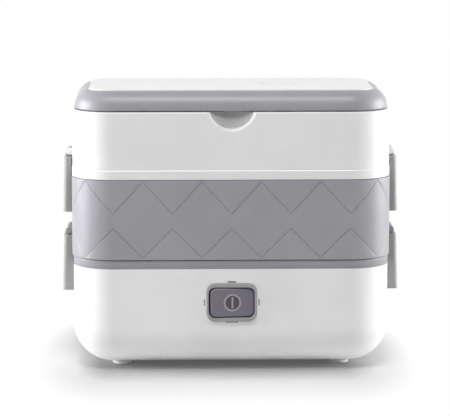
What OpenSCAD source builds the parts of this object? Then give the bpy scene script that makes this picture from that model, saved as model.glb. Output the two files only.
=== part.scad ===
/* [Body] */
// Width of the middle tier, the widest piece of the stack
body_w = 235; // [226:1:246]
// Depth of the middle tier, front to back
body_d = 116; // [112:1:124]
// Corner radius of the middle tier, seen from above
corner_r = 31; // [30.5:0.5:34]
// Wall of the moulded shells
wall = 2.4; // [2:0.1:2.6]
// How far the white upper tier is set in from the middle tier
upper_inset = 0.7; // [0.3:0.1:1]
// How far the base is set in from the middle tier
base_inset = 1; // [0.5:0.1:1.2]
// How far the lid is set in from the middle tier
lid_inset = 2.5; // [2.2:0.1:3]

/* [Stack] */
// Height of the white base shell
base_h = 73.3; // [72:0.5:82]
// Height of the grey collar on the base
collar_h = 6.5; // [6.3:0.1:8]
// Height of the grey lower tier
lower_h = 58.2; // [56:0.5:66]
// Height of the white upper tier
upper_h = 49; // [47:0.5:56]
// Height of the lid
lid_h = 14.2; // [13.9:0.1:16]
// Dark line left open between two stacked pieces
joint_gap = 0.7; // [0.4:0.1:1]
// Gap under the lid's edge
lid_gap = 1.2; // [0.8:0.1:1.5]
// Radius of the base's large bottom edge
base_round = 29; // [25:0.5:29.5]
// Radius of the lid's shoulder
lid_round = 13; // [12.5:0.1:13]

/* [Relief] */
// Number of waves in the zig-zag lines round the lower tier
relief_waves = 15; // [13:2:17]
// Distance of the zig-zag lines from the tier's edges
relief_edge = 1; // [0.8:0.1:2]
// Height of the upper line's waves
upper_wave_h = 23.7; // [20:0.1:25]
// Height of the lower line's waves
lower_wave_h = 22; // [18:0.1:24]
// Depth of the lines
relief_deep = 0.35; // [0.2:0.05:0.5]

/* [Seats] */
// Width of the rim that closes the top of each tier
rim_w = 7; // [6.5:0.1:8]
// Depth of the ledge below the rim
ledge_drop = 6; // [5.8:0.1:7]
// Play between a skirt and the rim that it drops into
skirt_fit = 0.4; // [0.3:0.1:0.6]
// Wall of the skirts under each tier and the lid
skirt_t = 2.2; // [1.8:0.1:2.4]
// Width of the silicone gaskets
gasket_w = 2.8; // [2.4:0.1:3]
// Thickness of the silicone gaskets
gasket_t = 1.5; // [1.2:0.1:1.8]

/* [Bowls] */
// Sheet thickness of the steel bowls and the water pan
sheet_t = 0.8; // [0.6:0.1:1]
// Width of the bowls' flat flange
flange_w = 4.5; // [4:0.1:5]
// Corner radius of the bowls
bowl_r = 18; // [14:0.5:19]
// Radius of the bowls' bottom edge
bowl_round = 8; // [5:0.5:10]
// Depth of the lower bowl
lower_bowl_h = 48; // [40:0.5:49]
// Depth of the upper bowl
upper_bowl_h = 40; // [34:0.5:41]
// Width left at each end of a bowl for the steam slots
steam_w = 9; // [8:0.5:11]

/* [Latches] */
// Width of a latch along the side wall
latch_w = 38; // [34:1:44]
// Length of a latch from its shoulder to its tip
latch_len = 41; // [38:0.2:42]
// Height of the latch pivot above the joint that it spans
pivot_rise = 15; // [14:0.1:16]
// Distance of the latch pivot from the wall
pivot_out = 2.7; // [2.6:0.1:3]
// Radius of the latch pins
latch_pin_r = 1; // [0.8:0.1:1.2]
// Radius of the latch barrel and of its ears
barrel_r = 2.3; // [2.2:0.1:2.5]
// Skin thickness of a latch
latch_skin = 1.8; // [1.5:0.1:2]

/* [Hinge] */
// Radius of the lid's hinge barrels
hinge_r = 3; // [2.7:0.1:3.1]
// Radius of the hinge pins
hinge_pin_r = 1.5; // [1.2:0.1:1.6]
// Distance of each hinge from the middle of the lid
hinge_x = 62; // [50:1:70]
// Width of the lid's hinge knuckles
knuckle_w = 16; // [12:1:20]

/* [Switch] */
// Height of the switch's centre above the table
switch_z = 52; // [50:0.5:53]
// Width of the grey switch bezel
bezel_w = 36.9; // [36.5:0.1:38]
// Height of the grey switch bezel
bezel_h = 28.4; // [28:0.1:30]
// Width of the opening that the rocker turns in
rocker_gap_w = 33.4; // [33:0.1:33.6]
// Height of the opening that the rocker turns in
rocker_gap_h = 22.4; // [22:0.1:22.6]
// Tilt of the rocker to either side
rocker_tilt = 5; // [3:0.5:6]

/* [Finger notch] */
// Radius of the scooped notch under the lid
notch_r = 18; // [15:0.5:19]
// Depth of the scoop at its deepest
notch_deep = 4.8; // [3.5:0.1:4.9]
// Height of the notch's centre above the white tier
notch_rise = 4.5; // [3:0.1:6]

/* [Heating] */
// Room between the water pan and the screw posts beside it
pan_post_gap = 2; // [1.5:0.1:6]
// Depth of the water pan, front to back
pan_d = 70; // [64:1:71]
// Depth of the water pan's hollow
pan_h = 13.5; // [10:0.5:14]

/* [Feet and screws] */
// Height of the feet
foot_h = 3.5; // [3:0.5:6]
// Radius of the feet
foot_r = 7; // [6:0.1:7.3]
// Radius of the screws' shanks
screw_r = 1.5; // [1.3:0.1:1.6]

/* [Hidden] */
$fn = 72;
eps = 0.01;
touch = 0.05;        // clearance of two faces that meet across a joint
pin_play = 0.05;     // radial play of a pin in a turning bore

// Heights of the stack
base_z = foot_h;
collar_z = base_z + base_h;
collar_top = collar_z + collar_h;
lower_z = collar_top + joint_gap;
lower_top = lower_z + lower_h;
upper_z = lower_top + joint_gap;
upper_top = upper_z + upper_h;
lid_z = upper_top + lid_gap;
lid_top = lid_z + lid_h;

// Seats, given as insets from the middle tier's outline
skirt_in = rim_w + skirt_fit;
bowl_seat_gap = 1;
bowl_seat_in = skirt_in + gasket_w + bowl_seat_gap;
bowl_d = body_d - 2 * (bowl_seat_in + flange_w);
bowl_w = body_w - 2 * (bowl_seat_in + flange_w + steam_w);
bowl_play = 0.4;
steam_slot_w = 4;
steam_slot_l = 13;

// Zig-zag lines round the lower tier, counted from the middle of the front
run_x = body_w / 2 - corner_r;
run_y = body_d / 2 - corner_r;
corner_run = PI * corner_r / 2;
relief_step = (2 * run_x + 2 * run_y + 2 * corner_run) / relief_waves;
relief_w = 0.8;

// Lid
plate_proud = 0.5;
plate_t = 2.4;
plate_edge_r = 0.9;
plate_inset = lid_inset + 0.8 * lid_round;
plate_lap = 4;
flange_t = 2;
liner_rise = 4.5;
liner_t = 2;
vent_x = 36;
vent_r = 13.5;
vent_t = 1.6;
vent_tube_r = 6.5;
vent_bore_r = 5;
boss_r = 2.9;
boss_x = 70;
boss_in = lid_inset + 0.84 * lid_round;

// Base
cover_w = body_w - 2 * (base_inset + base_round) - 2;
cover_d = body_d - 2 * (base_inset + base_round) - 2;
cover_r = 9;
cover_lap = 3;
post_x = cover_w / 2 - foot_r - 0.5;
post_y = cover_d / 2 - foot_r - 0.2;
post_r = 4;
pan_w = 2 * (post_x - post_r - pan_post_gap);
deck_z = collar_top - ledge_drop;
pan_lap = 5;
pan_gasket_t = 1.2;
pan_r = 16;
pan_round = 6;
pan_top = deck_z + pan_gasket_t + sheet_t;
pan_under = pan_top - pan_h;
heater_w = 80;
heater_d = 30;
heater_t = 8;
strap_x = 28;
strap_w = 10;
strap_t = 1.2;
strap_y = pan_d / 2 + 5;
strap_z = pan_under - heater_t - strap_t;
front_y = -(body_d / 2 - base_inset);

// Inlet niche on the right side
niche_x = body_w / 2 - base_inset - 12.5;
niche_w = 32;
niche_z = 13;
niche_h = 27;
niche_wall = 2;
inlet_z = niche_z + niche_h / 2;
inlet_deep = 13;
inlet_half = 4.3;
inlet_pin_r = 1.2;

// Switch
surround_w = bezel_w + 6.3;
surround_h = bezel_h + 3.6;
surround_t = 0.9;
bezel_t = 1.7;
rocker_gap_r = 3.2;
sleeve_t = 0.9;
sleeve_deep = 14;
pivot_y = front_y + 3.4;
rocker_r = rocker_gap_w / 2 - 0.4;
rocker_h = rocker_gap_h - 0.8;
rocker_face = 5;
trunnion_r = 1.2;

// Latches
slab_depth = 14;
latch_lean = 3;
latch_edge_r = 3;
latch_play = 0.4;
latch_shoulder = barrel_r + 0.9;
catch_r = 1.5;
catch_len = 24;
catch_drop = 15.5;
barrel_len = 18;
ear_t = 4;
ear_gap = 0.4;

// Hinge
hinge_off = 0.8;
hinge_side = 0.4;
hinge_ear_t = 5;
hinge_y = body_d / 2 - upper_inset + hinge_r + hinge_off;
hinge_z = upper_top + lid_gap / 2;

// Small parts
head_r = 3;
head_t = 1.2;
screw_len = 10;
liner_screw_r = 1.1;
liner_head_r = 2.2;
liner_head_t = 1;
liner_grip = 3;
foot_band_h = 6.6;
foot_band_t = 0.4;
bezel_r = 6.5;
thermostat_x = -54;
fuse_x = 56;
inlet_body_w = 22;
inlet_body_h = 14;
inlet_tail_l = 18;
inlet_tail_x = niche_x - inlet_tail_l;
switch_base_gap = 6.6;
switch_base_y = pivot_y + switch_base_gap;
switch_base_l = 9;
terminal_l = 8;
terminal_x = 8;
terminal_end = switch_base_y + switch_base_l + terminal_l;
wire_r = 1.1;
wire_bend = 0.15;
wire_gap = 0.3;
fuse_r = 2;
fuse_lead = 12;
thermostat_h = 10;
blade_h = 5;
blade_y = 4.5;

// Ends of the leads inside the base
tail_end = inlet_tail_x - wire_gap - wire_r;
terminal_lead = terminal_end + wire_gap + wire_r;
lead_z = switch_z - 2.5;
live_ends = [[tail_end, -inlet_half, inlet_z], [terminal_x, terminal_lead, lead_z]];
switched_ends = [
    [-terminal_x, terminal_lead, lead_z],
    [thermostat_x, -blade_y, pan_under - thermostat_h - blade_h - wire_gap - wire_r]
];
neutral_ends = [
    [tail_end, inlet_half, inlet_z],
    [fuse_x, fuse_lead + wire_gap + wire_r, pan_under - fuse_r]
];

// The front face of the rocker stands out by this much when one side is pressed in
rocker_reach = sqrt(rocker_r * rocker_r - rocker_face * rocker_face) * sin(rocker_tilt)
    + rocker_face * cos(rocker_tilt);
mid_y = (hinge_y + hinge_r + pivot_y - rocker_reach) / 2;

// A rectangle with round corners, centred
module round_rect(w, d, r) {
    square([w - 2 * r, d], center = true);
    square([w, d - 2 * r], center = true);
    for (x = [-1, 1], y = [-1, 1])
        translate([x * (w / 2 - r), y * (d / 2 - r)])
            circle(r);
}

// The body's outline, set in by the given distance
module outline(inset) {
    round_rect(body_w - 2 * inset, body_d - 2 * inset, corner_r - inset);
}

// A level ring between two insets
module band(z0, z1, inset0, inset1) {
    translate([0, 0, z0])
        linear_extrude(z1 - z0)
            difference() {
                outline(inset0);
                outline(inset1);
            }
}

// Sweeps a profile (distance from the corner axis, height) round a rectangle with round corners
module sweep(w, d, r) {
    cx = w / 2 - r;
    cy = d / 2 - r;
    corners = [[1, 1, 0], [-1, 1, 90], [-1, -1, 180], [1, -1, 270]];
    for (c = corners)
        translate([c[0] * cx, c[1] * cy, 0])
            rotate([0, 0, c[2]])
                rotate_extrude(angle = 90)
                    children();
    for (a = [0, 180])
        rotate([0, 0, a]) {
            translate([-cx, cy, 0])
                rotate([90, 0, 90])
                    linear_extrude(2 * cx)
                        children();
            translate([cx, cy, 0])
                rotate([90, 0, 0])
                    linear_extrude(2 * cy)
                        children();
        }
}

// A block whose bottom edge is rounded all the way round
module dish_block(w, d, r, h, f) {
    translate([0, 0, f])
        linear_extrude(h - f)
            round_rect(w, d, r);
    linear_extrude(f)
        round_rect(w - 2 * f, d - 2 * f, r - f);
    sweep(w, d, r)
        intersection() {
            translate([r - f, f])
                circle(f);
            translate([r - f, 0])
                square(f);
        }
}

// An open dish of even wall with a rounded bottom edge
module dish(w, d, r, h, f, t) {
    difference() {
        dish_block(w, d, r, h, f);
        translate([0, 0, t])
            dish_block(w - 2 * t, d - 2 * t, r - t, h, f - t);
    }
}

// The point on the body's outline at a distance from the middle of the front, going right
function around(s) =
    s < run_x ? [s, -body_d / 2]
    : s < run_x + corner_run ?
        let(a = (s - run_x) / corner_r * 180 / PI)
            [run_x + corner_r * sin(a), -run_y - corner_r * cos(a)]
    : s < run_x + corner_run + 2 * run_y ? [body_w / 2, s - run_x - corner_run - run_y]
    : s < run_x + 2 * corner_run + 2 * run_y ?
        let(a = (s - run_x - corner_run - 2 * run_y) / corner_r * 180 / PI)
            [run_x + corner_r * cos(a), run_y + corner_r * sin(a)]
    : [2 * run_x + 2 * corner_run + 2 * run_y - s, body_d / 2];

// One straight stretch of a zig-zag line, from one turn to the next, as a slab that stands on the wall
module wave_side(turn, low, high) {
    slab_out = 3;
    slab_in = 2;
    turn_lap = relief_w / 4;
    from = around(turn * relief_step);
    run = around((turn + 1) * relief_step) - from;
    from_z = turn % 2 == 0 ? low : high;
    rise = low + high - 2 * from_z;
    translate([from[0], from[1], from_z])
        rotate([0, 0, atan2(run[1], run[0])])
            rotate([0, -atan2(rise, norm(run)), 0])
                translate([-turn_lap, -slab_out, -relief_w / 2])
                    cube([norm([run[0], run[1], rise]) + 2 * turn_lap, slab_out + slab_in, relief_w]);
}

// The two zig-zag lines, whose valleys and peaks point at each other
module zig_zag() {
    upper_line = lower_top - relief_edge;
    lower_line = lower_z + relief_edge;
    intersection() {
        band(lower_z - 1, lower_top + 1, -1, relief_deep);
        for (side = [0, 1], turn = [0 : relief_waves - 1])
            mirror([side, 0, 0]) {
                wave_side(turn, upper_line - upper_wave_h, upper_line);
                wave_side(turn, lower_line + lower_wave_h, lower_line);
            }
    }
}

// The top of a tier: rim, inner wall and the ledge that carries a bowl and the next gasket
module rim_and_ledge(top, outer_inset) {
    band(top - wall, top, outer_inset, rim_w);
    band(top - ledge_drop - wall, top, rim_w - wall, rim_w);
    difference() {
        translate([0, 0, top - ledge_drop - wall])
            linear_extrude(wall)
                outline(rim_w - wall);
        children();
    }
}

// The hole in a ledge that a bowl hangs through, with the steam slots at its two ends
module bowl_hole(top) {
    translate([0, 0, top - ledge_drop - wall - 1])
        linear_extrude(wall + 2) {
            round_rect(bowl_w + 2 * bowl_play, bowl_d + 2 * bowl_play, bowl_r + bowl_play);
            for (x = [-1, 1], y = [-1, 0, 1])
                translate([x * (bowl_w / 2 + flange_w + steam_w / 2), y * (steam_slot_l + 6)])
                    round_rect(steam_slot_w, steam_slot_l, steam_slot_w / 2 - eps);
        }
}

// The bottom of a tier or lid: web and skirt that drop into the rim below
module web_and_skirt(bottom, outer_inset, seat_top) {
    band(bottom, bottom + wall, outer_inset, skirt_in + skirt_t);
    band(seat_top - ledge_drop + gasket_t, bottom + wall, skirt_in, skirt_in + skirt_t);
}

// A gasket under a skirt, resting on the ledge below
module skirt_gasket(seat_top) {
    color("whitesmoke")
        band(seat_top - ledge_drop + touch, seat_top - ledge_drop + gasket_t, skirt_in, skirt_in + gasket_w);
}

// A drawn steel bowl with a flat flange
module bowl(top, h) {
    color("silver")
        translate([0, 0, top - ledge_drop + touch]) {
            translate([0, 0, sheet_t - h])
                dish(bowl_w, bowl_d, bowl_r, h, bowl_round, sheet_t);
            linear_extrude(sheet_t)
                difference() {
                    round_rect(bowl_w + 2 * flange_w, bowl_d + 2 * flange_w, bowl_r + flange_w);
                    round_rect(bowl_w - sheet_t, bowl_d - sheet_t, bowl_r - sheet_t / 2);
                }
        }
}

// The bead on both side walls that a latch snaps under
module catch_beads(joint_z, inset) {
    for (x = [-1, 1])
        translate([x * (body_w / 2 - inset), catch_len / 2, joint_z - catch_drop])
            rotate([90, 0, 0])
                cylinder(r = catch_r, h = catch_len);
}

// The two pairs of ears that carry the latches of a tier
module latch_ears(joint_z, inset) {
    wall_x = body_w / 2 - inset;
    for (x = [0, 1], y = [-1, 1])
        mirror([x, 0, 0])
            translate([0, y * (barrel_len / 2 + ear_gap + ear_t / 2), joint_z + pivot_rise])
                difference() {
                    translate([0, ear_t / 2, 0])
                        rotate([90, 0, 0])
                            linear_extrude(ear_t) {
                                translate([wall_x + pivot_out, 0])
                                    circle(barrel_r);
                                translate([wall_x - wall / 2, -barrel_r])
                                    square([pivot_out + wall / 2, 2 * barrel_r]);
                            }
                    translate([wall_x + pivot_out, ear_t, 0])
                        rotate([90, 0, 0])
                            cylinder(r = latch_pin_r + pin_play, h = 2 * ear_t);
                }
}

// The steel pins of a tier's two latches
module latch_pins(joint_z, inset) {
    pin_len = barrel_len + 2 * ear_gap + 2 * ear_t - 1;
    color("gainsboro")
        for (x = [-1, 1])
            translate([x * (body_w / 2 - inset + pivot_out), pin_len / 2, joint_z + pivot_rise])
                rotate([90, 0, 0])
                    cylinder(r = latch_pin_r, h = pin_len);
}

// A strip from x = 0 to x = depth whose two far corners are round
module strip(depth, width, r) {
    translate([0, -width / 2])
        square([depth - r, width]);
    translate([0, -width / 2 + r])
        square([depth, width - 2 * r]);
    for (y = [-1, 1])
        translate([depth - r, y * (width / 2 - r)])
            circle(r);
}

// A leaning slab whose outer face runs down and away from the wall
module leaning_slab(face_x, width, edge_r) {
    translate([face_x, 0, -latch_shoulder])
        rotate([0, -latch_lean, 0])
            translate([-slab_depth, 0, -latch_len - 10])
                linear_extrude(latch_len + 12)
                    strip(slab_depth, width, edge_r);
}

// A latch in its own frame: pivot at the origin, +X away from the wall, hanging down.
// The wall below the joint stands further out than the wall above it by the given step.
module latch(step) {
    top_x = pivot_out - 0.8;
    tip_x = top_x + latch_len * tan(latch_lean);
    high_x = -pivot_out + max(0, step) + latch_play;
    low_x = -pivot_out + step + latch_play;
    rib_x = -pivot_out + step + catch_r + 0.2;
    rib_z = -pivot_rise - catch_drop - catch_r - 0.6;
    rib_t = 1.6;
    lip_r = 1.1;
    tip_z = -latch_shoulder - latch_len;
    difference() {
        union() {
            difference() {
                intersection() {
                    leaning_slab(top_x, latch_w, latch_edge_r);
                    union() {
                        translate([high_x, -latch_w, tip_z])
                            cube([slab_depth, 2 * latch_w, latch_len]);
                        translate([low_x, -latch_w, tip_z])
                            cube([slab_depth, 2 * latch_w, latch_len - pivot_rise + latch_shoulder - 1]);
                    }
                }
                intersection() {
                    leaning_slab(top_x - latch_skin, latch_w - 2 * latch_skin, latch_edge_r - latch_skin);
                    translate([-slab_depth, -latch_w, tip_z + latch_skin])
                        cube([2 * slab_depth, 2 * latch_w, latch_len - 2 * latch_skin]);
                }
            }
            translate([-barrel_r, -barrel_len / 2, -latch_shoulder - latch_skin])
                cube([barrel_r + top_x, barrel_len, latch_shoulder + latch_skin]);
            translate([0, barrel_len / 2, 0])
                rotate([90, 0, 0])
                    cylinder(r = barrel_r, h = barrel_len);
            translate([rib_x, -catch_len / 2, rib_z])
                cube([tip_x - 1.2 - rib_x, catch_len, rib_t]);
            translate([tip_x - 0.3, latch_w / 2 - latch_edge_r, tip_z + lip_r])
                rotate([90, 0, 0])
                    cylinder(r = lip_r, h = latch_w - 2 * latch_edge_r);
        }
        translate([0, barrel_len, 0])
            rotate([90, 0, 0])
                cylinder(r = latch_pin_r + pin_play, h = 2 * barrel_len);
        translate([rib_x - slab_depth, -catch_len / 2 - 1, tip_z - 1])
            cube([slab_depth, catch_len + 2, rib_z + rib_t - tip_z + 1]);
    }
}

// A latch on the right or left wall, spanning the joint at the given height
module placed_latch(side, joint_z, inset, below_inset) {
    color("gainsboro")
        mirror([side, 0, 0])
            translate([body_w / 2 - inset + pivot_out, 0, joint_z + pivot_rise])
                latch(inset - below_inset);
}

// Extrudes a profile (Y, Z) from the hinge axis along X
module along_hinge(x, length) {
    translate([x, hinge_y, hinge_z])
        rotate([90, 0, 90])
            linear_extrude(length)
                children();
}

// The bores of the two hinges
module hinge_bores() {
    for (x = [-hinge_x, hinge_x])
        along_hinge(x - knuckle_w, 2 * knuckle_w)
            circle(hinge_pin_r + pin_play);
}

// The four ears at the back of the upper tier that hold the hinge pins
module hinge_ears() {
    wall_y = -hinge_r - hinge_off;
    for (x = [-hinge_x, hinge_x], s = [-1, 1])
        along_hinge(x + s * (knuckle_w / 2 + hinge_side + hinge_ear_t / 2) - hinge_ear_t / 2, hinge_ear_t) {
            circle(hinge_r);
            polygon([
                [wall_y - wall / 2, -lid_gap / 2],
                [0, -lid_gap / 2],
                [0.65 * hinge_r, -0.65 * hinge_r],
                [wall_y - wall / 2, wall_y - wall / 2 - 1.3 * hinge_r]
            ]);
        }
}

// The two knuckles at the back of the lid
module hinge_knuckles() {
    wall_y = -hinge_r - hinge_off - (lid_inset - upper_inset);
    arm_top = 1.5 * hinge_r;
    for (x = [-hinge_x, hinge_x])
        along_hinge(x - knuckle_w / 2, knuckle_w) {
            circle(hinge_r);
            polygon([
                [wall_y - 0.6 * wall, lid_gap / 2],
                [0, lid_gap / 2],
                [0.65 * hinge_r, 0.65 * hinge_r],
                [1.3 * hinge_r - arm_top, arm_top],
                [wall_y - 0.6 * wall, arm_top]
            ]);
        }
}

// Extrudes a profile (X, Z) at the switch's height between two depths
module at_switch(y0, y1) {
    translate([0, y1, switch_z])
        rotate([90, 0, 0])
            linear_extrude(y1 - y0)
                children();
}

// Extrudes a profile (Y, Z) at the inlet's height between two widths
module at_inlet(x0, x1) {
    translate([x0, 0, inlet_z])
        rotate([90, 0, 90])
            linear_extrude(x1 - x0)
                children();
}

// A lead in the upright plane through its two ends. Bends are given as [share of the way, height].
module wire(ends, bends) {
    run = ends[1] - ends[0];
    reach = norm([run[0], run[1]]);
    points = [
        [0, ends[0][2]],
        for (b = bends) [b[0] * reach, b[1]],
        [reach, ends[1][2]]
    ];
    translate([ends[0][0], ends[0][1], 0])
        rotate([90, 0, atan2(run[1], run[0])])
            linear_extrude(2 * wire_r, center = true) {
                for (i = [0 : len(points) - 2]) {
                    step = points[i + 1] - points[i];
                    translate(points[i])
                        rotate(atan2(step[1], step[0]))
                            translate([0, -wire_r])
                                square([norm(step), 2 * wire_r]);
                }
                for (i = [1 : len(points) - 2])
                    translate(points[i])
                        circle(wire_r + wire_bend);
            }
}

module base_shell() {
    w = body_w - 2 * base_inset;
    d = body_d - 2 * base_inset;
    r = corner_r - base_inset;
    color("white")
        difference() {
            union() {
                translate([0, 0, base_z])
                    dish(w, d, r, base_h, base_round, wall);
                intersection() {
                    translate([0, 0, base_z])
                        dish_block(w, d, r, base_h, base_round);
                    translate([niche_x - niche_wall, -niche_w / 2 - niche_wall, niche_z - niche_wall])
                        cube([w, niche_w + 2 * niche_wall, niche_h + 2 * niche_wall]);
                }
                catch_beads(lower_z, base_inset);
            }
            translate([niche_x, -niche_w / 2, niche_z])
                cube([w, niche_w, niche_h]);
            at_inlet(niche_x - 2 * niche_wall, niche_x + 1)
                round_rect(inlet_body_w + 0.2, inlet_body_h + 0.2, 1);
            at_switch(front_y - 1, front_y + 2 * wall)
                round_rect(rocker_gap_w + 2 * sleeve_t + 0.2, rocker_gap_h + 2 * sleeve_t + 0.2,
                    rocker_gap_r + sleeve_t + 0.1);
            translate([0, 0, base_z - 1])
                linear_extrude(wall + 2)
                    round_rect(cover_w - 2 * cover_lap, cover_d - 2 * cover_lap, cover_r - cover_lap);
            translate([0, 0, base_z - 1])
                linear_extrude(1 + wall / 2 + touch)
                    round_rect(cover_w + 0.3, cover_d + 0.3, cover_r + 0.15);
        }
}

module base_collar() {
    spigot_in = base_inset + wall + 0.1;
    color("darkgray")
        difference() {
            union() {
                band(collar_z, collar_top, base_inset, base_inset + wall);
                band(collar_z, collar_z + wall, base_inset, rim_w);
                band(collar_z - 5, collar_z + wall, spigot_in, spigot_in + 1.6);
                rim_and_ledge(collar_top, base_inset)
                    translate([0, 0, deck_z - wall - 1])
                        linear_extrude(wall + 2)
                            round_rect(pan_w + 0.8, pan_d + 0.8, pan_r + 0.4);
                for (x = [-post_x, post_x], y = [-post_y, post_y])
                    translate([x, y, base_z + wall + touch])
                        cylinder(r = post_r, h = deck_z - base_z - 1.5 * wall);
                for (x = [-strap_x, strap_x], y = [-strap_y, strap_y])
                    translate([x, y, strap_z + strap_t])
                        cylinder(r = 3.5, h = deck_z - wall / 2 - strap_z - strap_t);
            }
            for (x = [-post_x, post_x], y = [-post_y, post_y])
                translate([x, y, 0])
                    cylinder(r = screw_r + 0.02, h = base_z + wall + screw_len);
            for (x = [-strap_x, strap_x], y = [-strap_y, strap_y])
                translate([x, y, 0])
                    cylinder(r = screw_r + 0.02, h = strap_z + strap_t + screw_len);
        }
}

module bottom_cover() {
    color("whitesmoke")
        difference() {
            translate([0, 0, base_z]) {
                linear_extrude(wall / 2)
                    round_rect(cover_w, cover_d, cover_r);
                linear_extrude(wall)
                    round_rect(cover_w - 2 * cover_lap - 0.4, cover_d - 2 * cover_lap - 0.4, cover_r - cover_lap);
            }
            for (x = [-post_x, post_x], y = [-post_y, post_y])
                translate([x, y, 0]) {
                    cylinder(r = screw_r + 0.2, h = base_z + 2 * wall);
                    cylinder(r = head_r + 0.1, h = base_z + head_t + 0.1);
                }
        }
}

module feet() {
    edge_r = 1.2;
    color("white")
        for (x = [-post_x, post_x], y = [-post_y, post_y])
            translate([x, y, 0])
                rotate_extrude() {
                    square([foot_r - edge_r, foot_h]);
                    translate([0, edge_r])
                        square([foot_r, foot_h - edge_r]);
                    translate([foot_r - edge_r, edge_r])
                        circle(edge_r);
                }
}

// A pan-head screw whose head lies below the given height
module screw(z) {
    translate([0, 0, z - head_t])
        cylinder(r = head_r, h = head_t);
    translate([0, 0, z - eps])
        cylinder(r = screw_r, h = screw_len - 1);
}

module cover_screws() {
    color("silver")
        for (x = [-post_x, post_x], y = [-post_y, post_y])
            translate([x, y, 0])
                screw(base_z + head_t + 0.1);
}

module water_pan() {
    color("silver") {
        translate([0, 0, pan_under])
            dish(pan_w, pan_d, pan_r, pan_h, pan_round, sheet_t);
        translate([0, 0, pan_top - sheet_t])
            linear_extrude(sheet_t)
                difference() {
                    round_rect(pan_w + 2 * pan_lap, pan_d + 2 * pan_lap, pan_r + pan_lap);
                    round_rect(pan_w - sheet_t, pan_d - sheet_t, pan_r - sheet_t / 2);
                }
    }
}

module pan_gasket() {
    color("whitesmoke")
        translate([0, 0, deck_z])
            linear_extrude(pan_gasket_t)
                difference() {
                    round_rect(pan_w + 2 * pan_lap - 1, pan_d + 2 * pan_lap - 1, pan_r + pan_lap - 0.5);
                    round_rect(pan_w + 1.2, pan_d + 1.2, pan_r + 0.6);
                }
}

module heater_block() {
    color("lightgray")
        translate([0, 0, pan_under - heater_t])
            linear_extrude(heater_t)
                round_rect(heater_w, heater_d, 3);
}

module heater_straps() {
    color("silver")
        for (x = [-strap_x, strap_x])
            translate([x, 0, strap_z])
                linear_extrude(strap_t)
                    difference() {
                        round_rect(strap_w, 2 * strap_y + strap_w, strap_w / 2 - eps);
                        for (y = [-strap_y, strap_y])
                            translate([0, y])
                                circle(screw_r + 0.2);
                    }
}

module strap_screws() {
    color("silver")
        for (x = [-strap_x, strap_x], y = [-strap_y, strap_y])
            translate([x, y, 0])
                screw(strap_z);
}

module thermostat() {
    color("dimgray")
        translate([thermostat_x, 0, pan_under - thermostat_h]) {
            translate([0, 0, thermostat_h / 2])
                cylinder(r = 8, h = thermostat_h / 2);
            cylinder(r = 7, h = thermostat_h);
            for (y = [-blade_y, blade_y])
                translate([-2, y - 0.4, -blade_h])
                    cube([4, 0.8, blade_h + eps]);
        }
}

module thermal_fuse() {
    color("gold")
        translate([fuse_x, 0, pan_under - fuse_r])
            rotate([90, 0, 0]) {
                cylinder(r = fuse_r, h = fuse_lead - 1, center = true);
                cylinder(r = 0.5, h = 2 * fuse_lead, center = true);
            }
}

module lead_wires() {
    color("ivory") {
        wire(live_ends, [[0.2, inlet_z - 8], [0.6, inlet_z - 8], [0.8, lead_z - 14]]);
        wire(switched_ends, [[0.15, lead_z - 8], [0.8, lead_z - 8]]);
        wire(neutral_ends, [[0.25, inlet_z + 4], [0.8, pan_under - 16]]);
    }
}

module inlet_socket() {
    flange_x = niche_x + 2;
    color("dimgray")
        difference() {
            union() {
                at_inlet(niche_x, flange_x)
                    round_rect(inlet_body_w + 5, inlet_body_h + 5, 3);
                at_inlet(flange_x - inlet_deep - 3, niche_x + eps)
                    round_rect(inlet_body_w, inlet_body_h, 1);
            }
            at_inlet(flange_x - inlet_deep, flange_x + 1)
                round_rect(2 * inlet_half + 8.6, 8.6, 4.3 - eps);
            for (y = [-inlet_half, inlet_half])
                at_inlet(flange_x - 2 * inlet_deep, flange_x)
                    translate([y, 0])
                        circle(inlet_pin_r + 0.02);
        }
}

module inlet_pins() {
    color("goldenrod")
        for (y = [-inlet_half, inlet_half])
            at_inlet(inlet_tail_x, niche_x - 1)
                translate([y, 0])
                    circle(inlet_pin_r);
}

module switch_surround() {
    tick_long = 6;
    tick_wide = 1.1;
    color("white")
        at_switch(front_y - surround_t, front_y)
            difference() {
                round_rect(surround_w, surround_h, 8);
                round_rect(bezel_w + 0.2, bezel_h + 0.2, bezel_r + 0.1);
                translate([0, surround_h / 2 - 0.7])
                    square([tick_long, tick_wide], center = true);
                for (x = [-1, 1])
                    translate([x * (surround_w / 2 - 1.5), 0])
                        square([tick_wide, 0.8 * tick_long], center = true);
            }
}

module switch_bezel() {
    color("darkgray")
        difference() {
            union() {
                at_switch(front_y - bezel_t, front_y)
                    round_rect(bezel_w, bezel_h, bezel_r);
                at_switch(front_y - eps, front_y + sleeve_deep)
                    round_rect(rocker_gap_w + 2 * sleeve_t, rocker_gap_h + 2 * sleeve_t, rocker_gap_r + sleeve_t);
            }
            at_switch(front_y - 2 * bezel_t, front_y + sleeve_deep + 1)
                round_rect(rocker_gap_w, rocker_gap_h, rocker_gap_r);
            translate([0, pivot_y, switch_z - rocker_gap_h])
                cylinder(r = trunnion_r + pin_play, h = 2 * rocker_gap_h);
        }
}

module switch_rocker() {
    pocket_w = 1.5 * rocker_r;
    color("slategray")
        translate([0, pivot_y, switch_z])
            rotate([0, 0, rocker_tilt]) {
                difference() {
                    intersection() {
                        cylinder(r = rocker_r, h = rocker_h, center = true);
                        translate([0, 3, 0])
                            rotate([90, 0, 0])
                                linear_extrude(rocker_face + 3)
                                    round_rect(2 * rocker_r, rocker_h, rocker_gap_r - 0.4);
                    }
                    translate([-pocket_w / 2, trunnion_r + 0.6, -rocker_h / 2 + 2])
                        cube([pocket_w, rocker_face, rocker_h - 4]);
                }
                cylinder(r = trunnion_r, h = rocker_gap_h + 1.4, center = true);
            }
}

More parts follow.
